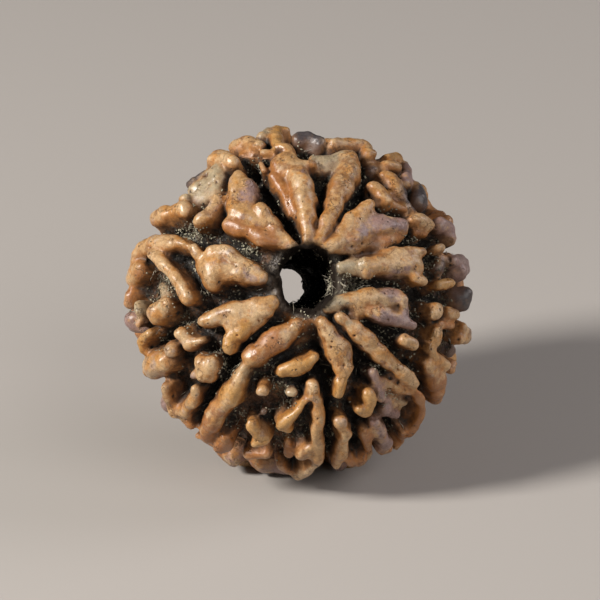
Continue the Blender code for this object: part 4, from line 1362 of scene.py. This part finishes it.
    def write_tones(self, mesh: bpy.types.Mesh, ridges: list[list[Station]]) -> None:
        """Store how much of each tone every vertex takes from the ridges and patches near it.

        Args:
            mesh: The stone.
            ridges: Every ridge as its stations.
        """
        samples = []
        for line in ridges:
            samples.append((line[0].crest, line[0].tone, line[0].shade))
            for first, second in zip(line, line[1:]):
                count = max(1, int(np.linalg.norm(second.crest - first.crest) / 0.3))
                for index in range(1, count + 1):
                    place = first.crest + (second.crest - first.crest) * index / count
                    samples.append((place, second.tone, second.shade))
        finder = KDTree(len(samples))
        for index, sample in enumerate(samples):
            finder.insert(sample[0], index)
        finder.balance()
        points = point_array(mesh, "co")
        shares = np.zeros((len(points), len(Tone)))
        shades = np.zeros(len(points))
        for number, point in enumerate(points):
            near = finder.find_n(point, 5)
            closest = near[0][2]
            total = 0.0
            for _, index, distance in near:
                pull = exp(-((distance - closest) / 0.35) ** 2)
                shares[number, samples[index][1].value] += pull
                shades[number] += pull * samples[index][2]
                total += pull
            shares[number] /= total
            shades[number] /= total
        for blush in BLUSHES:
            middle = self.form.face_points(np.array([(blush.right, blush.up)]), blush.depth)[0]
            pull = blush.strength * np.exp(-(np.linalg.norm(points - middle, axis=1) / blush.reach) ** 2)
            shares *= (1.0 - pull)[:, None]
            shares[:, blush.tone.value] += pull
        for tone in Tone:
            write_share(mesh, tone.name.lower(), shares[:, tone.value])
        write_share(mesh, "shade", shades)
        litter = np.zeros(len(points))
        for right, up, reach in LITTER_SPOTS:
            middle = self.form.face_points(np.array([(right, up)]), 1.0)[0]
            across = np.linalg.norm(points[:, :2] - middle[:2], axis=1)
            litter = np.maximum(litter, np.exp(-(across / reach) ** 2) * (points[:, 2] > middle[2] - 2.0))
        write_share(mesh, "litter", litter)
        near, far = np.array(self.near_mouth), np.array(self.far_mouth)
        along = (near - far) / np.linalg.norm(near - far)
        offsets = points - far
        distance = np.linalg.norm(offsets - np.outer(offsets @ along, along), axis=1)
        write_share(mesh, "collar", np.clip((self.collar_outer - distance) / self.collar_width, 0.0, 1.0))
        share = (offsets[:, 2] / (near - far)[2])[:, None]
        far_size, near_size = np.array(self.far_mouth_size), np.array(self.near_mouth_size)
        across = (offsets - (near - far) * share)[:, :2] / (far_size + (near_size - far_size) * share)
        outside = (self.bore_limit - np.linalg.norm(across, axis=1)) / self.bore_fade
        write_share(mesh, "bore", np.clip(outside, 0.0, 1.0))

    def build(self, finish: "StoneFinish") -> bpy.types.Object:
        """Build the whole stone.

        Args:
            finish: What it wears.

        Returns:
            The finished piece.
        """
        material = finish.material()
        ridges = self.plan.ridges()
        stone = self.make_surface(ridges, material)
        mesh = stone.data
        if "depth" in mesh.attributes:
            mesh.attributes.remove(mesh.attributes["depth"])
        write_share(mesh, "depth", self.form.depths(point_array(mesh, "co")))
        write_share(mesh, "shelter", self.shelter(mesh))
        write_share(mesh, "bend", self.hollowness(mesh))
        self.write_tones(mesh, ridges)
        mesh.transform(self.form.lying_place())
        mesh.shade_smooth()
        mesh.materials.clear()
        mesh.materials.append(material)
        stone.name = "bead_stone"
        return stone


@dataclass(frozen=True)
class StoneFinish:
    """The stone's surface: soft polish and a painted highlight on the crests, orange brown flanks with
    painted shade, and dusty seams darkened by painted shade and dirt.
    """

    honey: Colour = (0.39, 0.222, 0.092, 1.0)
    pale: Colour = (0.47, 0.315, 0.170, 1.0)
    amber: Colour = (0.40, 0.175, 0.040, 1.0)
    brown: Colour = (0.19, 0.086, 0.034, 1.0)
    ochre: Colour = (0.41, 0.210, 0.055, 1.0)
    russet: Colour = (0.26, 0.098, 0.032, 1.0)
    plum: Colour = (0.22, 0.150, 0.152, 1.0)
    dusk: Colour = (0.040, 0.038, 0.045, 1.0)
    crust: Colour = (0.33, 0.280, 0.185, 1.0)
    film: Colour = (0.33, 0.262, 0.230, 1.0)
    # Saturated brown of the flanks, also used as painted shade on them
    flank_and_shade: Colour = (0.30, 0.108, 0.017, 1.0)
    # Deep brown for painted shade in creases and closed-in places, and for the hairline cracks
    under: Colour = (0.085, 0.033, 0.010, 1.0)
    # Near black: painted shade and dirt on the seam floors, and the pits, matted fibres and bore walls
    near_black: Colour = (0.014, 0.010, 0.0075, 1.0)
    silt: Colour = (0.050, 0.042, 0.030, 1.0)
    dust: Colour = (0.28, 0.255, 0.155, 1.0)
    fuzz: Colour = (0.125, 0.105, 0.080, 1.0)
    polished: float = 0.36
    # Limits of the ramps in order of use: start and end, then the values there when not 0 and 1
    base_ramp: Ramp = (0.40, 0.62)
    warm_ramp: Ramp = (0.50, 0.62, 0.0, 0.75)
    brown_ramp: Ramp = (0.55, 0.72, 0.0, 0.75)
    film_ramp: Ramp = (0.56, 0.68, 0.0, 0.55)
    tone_ramp: Ramp = (0.35, 1.0)
    pit_ramp: Ramp = (0.06, 0.22, 1.0, 0.0)
    pitted_ramp: Ramp = (0.52, 0.62)
    crack_ramp: Ramp = (0.0, 0.010, 1.0, 0.0)
    cracked_ramp: Ramp = (0.45, 0.6)
    crest_highlight_ramp: Ramp = (-0.9, -2.4)
    flank_ramp: Ramp = (0.25, 0.95)
    shelter_shade_ramp: Ramp = (0.08, 0.32)
    crease_shade_ramp: Ramp = (0.0, 1.1, 0.0, 0.85)
    gap_shade_ramp: Ramp = (0.30, 0.55, 0.0, 0.85)
    speck_ramp: Ramp = (0.48, 0.60)
    patch_ramp: Ramp = (0.52, 0.66, 0.0, 0.6)
    low_ramp: Ramp = (0.9, 1.7)
    seam_floor_shade_ramp: Ramp = (0.48, 0.72)
    sandy_ramp: Ramp = (0.3, 0.7)
    open_ramp: Ramp = (0.85, 0.5)
    collar_depths: Ramp = (0.3, 0.7)
    strand_ramp: Ramp = (0.40, 0.62)
    collar_ramp: Ramp = (0.35, 0.7, 0.0, 0.9)
    dull_ramp: Ramp = (0.15, 0.5)
    bore_gloss: Ramp = (0.0, 1.0, 0.5, 0.1)
    # How strongly each mark tints the stone
    crest_highlight_share: float = 0.4
    crack_share: float = 0.55
    pit_share: float = 0.7
    silt_share: float = 0.8
    dust_share: float = 0.9
    dull: float = 0.6
    relief: float = 0.2
    base_waves: Waves = (0.55, 3.0, 0.55, 1.0)
    warm_waves: Waves = (1.25, 4.0, 0.6, 10.0)
    brown_waves: Waves = (1.9, 4.0, 0.62, 2.0)
    film_waves: Waves = (0.9, 4.0, 0.65, 12.0)
    fine_waves: Waves = (6.5, 4.0, 0.65, 3.0)
    sand_waves: Waves = (15.0, 2.0, 0.6, 4.0)
    middle_waves: Waves = (2.4, 4.0, 0.6, 13.0)
    ragged_waves: Waves = (2.6, 4.0, 0.65, 6.0)
    speck_waves: Waves = (5.0, 4.0, 0.72, 8.0)
    patch_waves: Waves = (0.75, 2.0, 0.5, 9.0)
    strand_waves: Waves = (3.6, 5.0, 0.75, 16.0)
    pit_waves: Waves = (0.85, 2.0, 0.5, 5.0)
    fold_waves: Waves = (0.9, 4.0, 0.62, 14.0)
    crack_waves: Waves = (0.7, 1.0, 0.5, 15.0)

    def share(self, bench: Bench, name: str) -> Wire:
        """Return one of the numbers that the stone keeps for each vertex."""
        return bench.wire("ShaderNodeAttribute", output="Fac", attribute_name=name)

    def body_colour(self, bench: Bench, where: Wire) -> Wire:
        """Mottle the honey base with pale, amber and brown.

        Args:
            bench: The material's node tree.
            where: Places in millimetres.

        Returns:
            The colour.
        """
        shade = self.share(bench, "shade") * 0.12
        base = bench.ramp(bench.noise(where, *self.base_waves), *self.base_ramp)
        colour = bench.mix(base, self.honey, self.pale)
        warm = bench.ramp(bench.noise(where, *self.warm_waves), *self.warm_ramp)
        colour = bench.mix(warm, colour, self.amber)
        uneven = bench.noise(where, *self.brown_waves) + shade
        colour = bench.mix(bench.ramp(uneven, *self.brown_ramp), colour, self.brown)
        greyed = bench.ramp(bench.noise(where, *self.film_waves), *self.film_ramp)
        return bench.mix(greyed, colour, self.film)

    def tone_layers(self, bench: Bench, where: Wire, base: Wire) -> Wire:
        """Lay the ridges' tones over the base colour, with mottled borders.

        Args:
            bench: The material's node tree.
            where: Places in millimetres.
            base: The mottled base.

        Returns:
            The layered colour.
        """
        colour = base
        layers = (("ochre", self.ochre, 0.75, 2.6), ("russet", self.russet, 0.8, 2.6),
                  ("plum", self.plum, 0.85, 2.6), ("dusk", self.dusk, 0.97, 1.2),
                  ("crust", self.crust, 0.8, 2.6))
        for number, (name, tint, strength, spread) in enumerate(layers):
            swing = (bench.noise(where, 1.35, 5.0, 0.66, 20.0 + number) - 0.5) * spread
            edge = self.share(bench, name) + swing
            colour = bench.mix(bench.ramp(edge, *self.tone_ramp, 0.0, strength), colour, tint)
        return colour

    def grained(self, bench: Bench, colour: Wire, grain: Wire, low: float, high: float) -> Wire:
        """Darken and lighten a colour by a fine grain.

        Args:
            bench: The material's node tree.
            colour: The colour.
            grain: The grain's noise.
            low: How dark it gets.
            high: How light it gets.

        Returns:
            The grained colour.
        """
        level = bench.ramp(grain, 0.32, 0.68, low, high)
        grey = bench.wire("ShaderNodeCombineColor", {0: level, 1: level, 2: level})
        return bench.mix(1.0, colour, grey, "MULTIPLY")

    def marks(self, bench: Bench, where: Wire) -> tuple[Wire, Wire]:
        """Make the small dark pits and the hairline cracks.

        Args:
            bench: The material's node tree.
            where: Places in millimetres.

        Returns:
            How strong the pits are, and the cracks.
        """
        bent = bench.vector("ADD", where, bench.stretch(bench.drift(where, 5.0, 2.0), 0.22))
        cells = bench.wire("ShaderNodeTexVoronoi", {"Vector": bent, "Scale": 2.3}, "Distance", feature="F1")
        pits = bench.ramp(cells, *self.pit_ramp)
        pits = pits * bench.ramp(bench.noise(where, *self.pit_waves), *self.pitted_ramp)
        fold = bench.math("ABSOLUTE", bench.noise(where, *self.fold_waves) - 0.5)
        cracks = bench.ramp(fold, *self.crack_ramp)
        cracks = cracks * bench.ramp(bench.noise(where, *self.crack_waves), *self.cracked_ramp)
        return pits, cracks

    def material(self) -> bpy.types.Material:
        """Build the material.

        Returns:
            The material, which reads the stone's attributes and its place in millimetres.
        """
        material = bpy.data.materials.new("stone_dressed")
        material.use_nodes = True
        bench = Bench(material.node_tree)
        shader = material.node_tree.nodes["Principled BSDF"]
        where = bench.millimetres()
        depth, litter, bore = (self.share(bench, name) for name in ("depth", "litter", "bore"))
        fine = bench.noise(where, *self.fine_waves)
        middle = bench.noise(where, *self.middle_waves)
        sand = bench.noise(where, *self.sand_waves)
        pits, cracks = self.marks(bench, where)
        ragged = (bench.noise(where, *self.ragged_waves) - 0.5) * 0.45
        closed = self.share(bench, "shelter") + ragged

        # The ridges: a painted highlight on the crests, orange brown with painted shade on the flanks,
        # painted shade in creases and closed-in places
        colour = self.tone_layers(bench, where, self.body_colour(bench, where))
        greyed = self.share(bench, "plum") + self.share(bench, "dusk") + self.share(bench, "crust")
        kept = 1.0 - bench.math("MINIMUM", greyed, 1.0) * 0.75
        bend = self.share(bench, "bend") + ragged * 2.0
        # Painted highlight: where the surface bulges out, the colour is mixed towards pale.
        crest = bench.ramp(bend, *self.crest_highlight_ramp) * kept
        colour = bench.mix(crest * self.crest_highlight_share, colour, self.pale)
        # Painted shade, with the flanks' own saturated brown: the colour deepens with depth below the outer
        # form and with shelter.
        sunk = bench.ramp(depth + ragged * 2.0, *self.flank_ramp)
        flank_and_shade = bench.highest(sunk, bench.ramp(closed, *self.shelter_shade_ramp))
        colour = bench.mix(flank_and_shade * (1.0 - crest * 0.6) * kept * 0.72, colour, self.flank_and_shade)
        colour = self.grained(bench, colour, fine, 0.80, 1.18)
        colour = self.grained(bench, colour, sand, 0.90, 1.10)
        # Painted shade: where the surface bends inwards, the colour darkens to deep brown.
        colour = bench.mix(bench.ramp(bend, *self.crease_shade_ramp), colour, self.under)
        colour = bench.mix(cracks * self.crack_share, colour, self.under)
        colour = bench.mix(pits * self.pit_share, colour, self.near_black)
        # Painted shade: closed-in places, by the shelter measure, darken to deep brown.
        colour = bench.mix(bench.ramp(closed, *self.gap_shade_ramp), colour, self.under)

        # The seam floors: painted shade and dark dirt in near black with silt, and dust where it has gathered
        specks = bench.ramp(bench.noise(where, *self.speck_waves), *self.speck_ramp)
        patches = bench.ramp(bench.noise(where, *self.patch_waves), *self.patch_ramp)
        low = bench.ramp(depth + ragged * 3.0, *self.low_ramp)
        floor = bench.mix(specks * self.silt_share, self.near_black, self.silt)
        # Painted shade with dark dirt: closed-in places turn near black, flecked with silt.
        colour = bench.mix(bench.ramp(closed, *self.seam_floor_shade_ramp), colour, floor)
        sandy = bench.highest(patches, bench.ramp(self.share(bench, "crust"), *self.sandy_ramp))
        dusty = low * specks * bench.highest(sandy, litter) * bench.ramp(closed, *self.open_ramp)
        colour = bench.mix(dusty * self.dust_share, colour, self.dust)

        # The matted collar round the near mouth, and the bore, whose walls are coloured near black
        collar = self.share(bench, "collar") + ragged * 1.2
        collar = collar * bench.ramp(depth + ragged, *self.collar_depths)
        strands = bench.ramp(bench.noise(where, *self.strand_waves), *self.strand_ramp)
        matted = bench.mix(strands, self.near_black, self.fuzz)
        colour = bench.mix(bench.ramp(collar, *self.collar_ramp), colour, matted)
        bench.feed(shader.inputs["Base Color"], bench.mix(bore, colour, self.near_black))

        worn = bench.ramp(closed, *self.dull_ramp, self.polished, self.dull)
        rough = worn + (middle - 0.5) * 0.45 + (fine - 0.5) * 0.3
        bench.feed(shader.inputs["Roughness"], bench.highest(rough, bore))
        bench.feed(shader.inputs["Specular IOR Level"], bench.ramp(bore, *self.bore_gloss))
        height = fine * 0.06 + middle * 0.15 + sand * 0.03 - pits * 0.45 - cracks * 0.25 + specks * low * 0.6
        feeds = {"Height": height, "Distance": self.relief * MM, "Strength": 1.0}
        bench.feed(shader.inputs["Normal"], bench.wire("ShaderNodeBump", feeds))
        return material


@dataclass(frozen=True)
class ScrapFinish:
    """A dull finish with a little variation, for fibres and grit."""

    name: str
    colour: Colour
    other: Colour
    roughness: float = 0.9
    waves: Waves = (1.4, 3.0, 0.6, 31.0)

    def material(self) -> bpy.types.Material:
        """Build the material.

        Returns:
            The material.
        """
        material = bpy.data.materials.new(self.name)
        material.use_nodes = True
        bench = Bench(material.node_tree)
        shader = material.node_tree.nodes["Principled BSDF"]
        patch = bench.ramp(bench.noise(bench.millimetres(), *self.waves), 0.4, 0.6)
        bench.feed(shader.inputs["Base Color"], bench.mix(patch, self.colour, self.other))
        shader.inputs["Roughness"].default_value = self.roughness
        return material


@dataclass
class SeamLitter:
    """Fibres and grains of grit that lie in the sheltered places of the stone."""

    name: str
    finish: ScrapFinish
    seed: int
    density: float
    size: float
    thickness: float
    spread: float
    grain: bool
    low_shelter: float = 0.3
    low_depth: float = 0.9

    def turns(self) -> tuple[Place, Place]:
        """Return the least and the greatest turns: any way for a grain, nearly flat for a fibre."""
        if self.grain:
            return (0.0, 0.0, 0.0), (6.28, 6.28, 6.28)
        return (-0.5, -0.5, 0.0), (0.5, 0.5, 6.28)

    def scrap(self, bench: Bench) -> Wire:
        """Make one scrap of unit size: a ball for a grain, a bent strand for a fibre.

        Args:
            bench: The tree's bench.

        Returns:
            Its geometry.
        """
        if self.grain:
            return bench.wire("GeometryNodeMeshIcoSphere", {"Radius": 0.5, "Subdivisions": 1})
        ends = {"Start": (-0.5, 0.0, 0.0), "Middle": (0.0, 0.0, 0.35), "End": (0.5, 0.1, 0.0)}
        line = bench.wire("GeometryNodeCurveQuadraticBezier", {"Resolution": 5, **ends})
        section = bench.wire("GeometryNodeCurvePrimitiveCircle", {"Resolution": 3, "Radius": 0.5})
        return bench.wire("GeometryNodeCurveToMesh", {"Curve": line, "Profile Curve": section})

    def scatter_recipe(self, material: bpy.types.Material) -> Recipe:
        """Write the tree that scatters scraps over the stone's sheltered faces.

        Args:
            material: What they wear.

        Returns:
            The finished recipe.
        """
        recipe = Recipe(self.name)
        bench = recipe.bench
        density = recipe.ask("Scraps a Square Millimetre", self.density)
        size = recipe.ask("Length", self.size)
        thickness = recipe.ask("Thickness", self.thickness)
        spread = recipe.ask("Size Spread", self.spread)
        seed = recipe.ask("Seed", self.seed)
        depth, litter = bench.stored("depth"), bench.stored("litter")
        where = bench.wire("GeometryNodeInputPosition")
        sheltered = bench.ramp(bench.stored("shelter"), self.low_shelter, self.low_shelter + 0.2)
        held = sheltered * bench.ramp(depth, self.low_depth, self.low_depth + 0.5)
        held = bench.highest(held, litter * 0.6 * bench.ramp(depth, 0.3, 0.8))
        patchy = bench.ramp(bench.noise(where, 0.6, 2.0, 0.5, 40.0 + self.seed), 0.5, 0.66, 0.04, 0.5)
        feeds = {"Mesh": recipe.source.outputs["Geometry"], "Seed": seed}
        feeds["Density"] = held * bench.highest(patchy, litter) * density
        points = bench.add("GeometryNodeDistributePointsOnFaces", feeds)
        low, high = self.turns()
        drawn_turn = bench.wire("FunctionNodeRandomValue", {0: low, 1: high}, data_type="FLOAT_VECTOR")
        limits = {2: 1.0 - spread, 3: 1.0 + spread}
        drawn = bench.wire("FunctionNodeRandomValue", limits, 1, data_type="FLOAT")
        feeds = {0: points.outputs["Rotation"], 1: bench.wire("FunctionNodeEulerToRotation", {0: drawn_turn})}
        turned = bench.wire("FunctionNodeRotateRotation", feeds, rotation_space="LOCAL")
        sizes = bench.wire("ShaderNodeCombineXYZ", {"X": size * drawn, "Y": thickness, "Z": thickness})
        feeds = {
            "Points": points.outputs[0], "Instance": self.scrap(bench), "Rotation": turned, "Scale": sizes}
        placed = bench.wire("GeometryNodeInstanceOnPoints", feeds)
        real = bench.wire("GeometryNodeRealizeInstances", {"Geometry": placed})
        middle = bench.vector("SUBTRACT", bench.drift(where, 1.6, 1.0), (0.5, 0.5, 0.5))
        feeds = {"Geometry": real, "Offset": bench.stretch(middle, size * 0.9)}
        recipe.finish(bench.wire("GeometryNodeSetPosition", feeds), material)
        return recipe

    def build(self, stone: bpy.types.Object, form: StoneForm) -> bpy.types.Object:
        """Scatter the scraps on the stone.

        Args:
            stone: The finished stone.
            form: Its outer form and pose.

        Returns:
            The scraps, as one plain mesh.
        """
        material = self.finish.material()
        item = add_object(self.name, stone.data.copy())
        item.data.transform(form.lying_place().inverted())
        self.scatter_recipe(material).put_on(item)
        settle(item)
        item.data.transform(form.lying_place())
        return item


@dataclass(frozen=True)
class FloorFinish:
    """A plain pale surface, a little uneven in tone."""

    colour: Colour = (0.40, 0.375, 0.35, 1.0)
    roughness: float = 0.85

    def material(self) -> bpy.types.Material:
        """Build the material.

        Returns:
            The material.
        """
        material = bpy.data.materials.new("pale_floor")
        material.use_nodes = True
        shader = material.node_tree.nodes["Principled BSDF"]
        shader.inputs["Base Color"].default_value = self.colour
        shader.inputs["Roughness"].default_value = self.roughness
        return material


@dataclass
class Studio:
    """The pale floor, the soft lights and the camera."""

    form: StoneForm
    floor_size: float = 3.0
    distance: float = 0.4
    sensor: float = 36.0
    view_width: float = 0.03726
    pixel: float = 0.0000621
    shift_right: float = 2.0
    shift_up: float = 3.0
    lamp_distance: float = 0.35
    key_way: Place = (-0.76, -0.33, 0.56)
    key_size: float = 0.08
    key_power: float = 1.85
    fill_way: Place = (0.55, -0.65, 0.55)
    fill_size: float = 0.3
    fill_power: float = 0.5
    rim_way: Place = (0.85, 0.2, 0.5)
    rim_size: float = 0.2
    rim_power: float = 0.4
    sky: Colour = (0.95, 0.95, 1.0, 1.0)
    sky_strength: float = 0.06

    def middle(self) -> Vector:
        """Return the bead's middle."""
        return Vector((0.0, 0.0, self.form.rest_height * MM))

    def add_floor(self) -> bpy.types.Object:
        """Lay the floor under the bead.

        Returns:
            The floor.
        """
        shape = bmesh.new()
        bmesh.ops.create_grid(shape, x_segments=1, y_segments=1, size=self.floor_size / 2)
        mesh = bpy.data.meshes.new("floor")
        shape.to_mesh(mesh)
        shape.free()
        mesh.materials.append(FloorFinish().material())
        floor = add_object("floor", mesh)
        return floor

    def add_light(self, name: str, way: Place, size: float, power: float, colour: Place) -> None:
        """Hang one soft light that shines at the bead.

        Args:
            name: Its name.
            way: The direction that it hangs in, from the bead.
            size: Its width in metres.
            power: Its power in watts.
            colour: Its colour.
        """
        lamp = bpy.data.lights.new(name, "AREA")
        lamp.shape = "DISK"
        lamp.size = size
        lamp.energy = power
        lamp.color = colour
        item = bpy.data.objects.new(name, lamp)
        direction = Vector(way).normalized()
        item.location = self.middle() + direction * self.lamp_distance
        item.rotation_euler = direction.to_track_quat("Z", "Y").to_euler()
        bpy.context.scene.collection.objects.link(item)

    def add_sky(self) -> None:
        """Give the surroundings a low even light, and show colours as they are."""
        bpy.context.scene.view_settings.view_transform = "Standard"
        world = bpy.data.worlds.new("surroundings")
        world.use_nodes = True
        background = world.node_tree.nodes["Background"]
        background.inputs["Color"].default_value = self.sky
        background.inputs["Strength"].default_value = self.sky_strength
        bpy.context.scene.world = world

    def add_camera(self) -> None:
        """Put the camera where the bead's face is seen square-on."""
        rise = self.form.face_rise
        up = Vector((0.0, sin(rise), cos(rise)))
        back = Vector((0.0, -cos(rise), sin(rise)))
        offset = Vector((self.shift_right, 0.0, 0.0)) * self.pixel + up * self.shift_up * self.pixel
        lens = bpy.data.cameras.new("camera")
        lens.sensor_width = self.sensor
        lens.lens = self.sensor * self.distance / self.view_width
        lens.clip_start = 0.01
        camera = bpy.data.objects.new("camera", lens)
        camera.location = self.middle() + offset + back * self.distance
        camera.rotation_euler = (pi / 2 - rise, 0.0, 0.0)
        bpy.context.scene.collection.objects.link(camera)
        bpy.context.scene.camera = camera

    def build(self) -> None:
        """Set up the floor, the lights, the surroundings and the camera."""
        self.add_floor()
        self.add_light("key", self.key_way, self.key_size, self.key_power, (1.0, 0.96, 0.91))
        self.add_light("fill", self.fill_way, self.fill_size, self.fill_power, (1.0, 0.97, 0.95))
        self.add_light("rim", self.rim_way, self.rim_size, self.rim_power, (1.0, 0.93, 0.95))
        self.add_sky()
        self.add_camera()


def main() -> None:
    """Build the stone, its fibres and its grit, set up the studio and report each piece."""
    logging.basicConfig(level=logging.INFO, format="%(message)s")
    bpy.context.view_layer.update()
    form = StoneForm()
    stone = StoneBody(form, RidgePlan(form)).build(StoneFinish())
    fibre_finish = ScrapFinish("seam_fibre", (0.42, 0.38, 0.30, 1.0), (0.13, 0.11, 0.08, 1.0))
    grit_finish = ScrapFinish("seam_grit", (0.40, 0.37, 0.27, 1.0), (0.10, 0.085, 0.055, 1.0))
    fibres = SeamLitter("seam_fibres", fibre_finish, 3, 5.0, 0.75, 0.032, 0.5, False).build(stone, form)
    grit = SeamLitter("seam_grit", grit_finish, 4, 32.0, 0.16, 0.12, 0.7, True).build(stone, form)
    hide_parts(NODE)
    for piece in (stone, fibres, grit):
        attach(piece, BODY)
        LOG.info("%s: %d triangles", piece.name, sum(len(p.vertices) - 2 for p in piece.data.polygons))
    Studio(form).build()


if __name__ == "__main__":
    main()
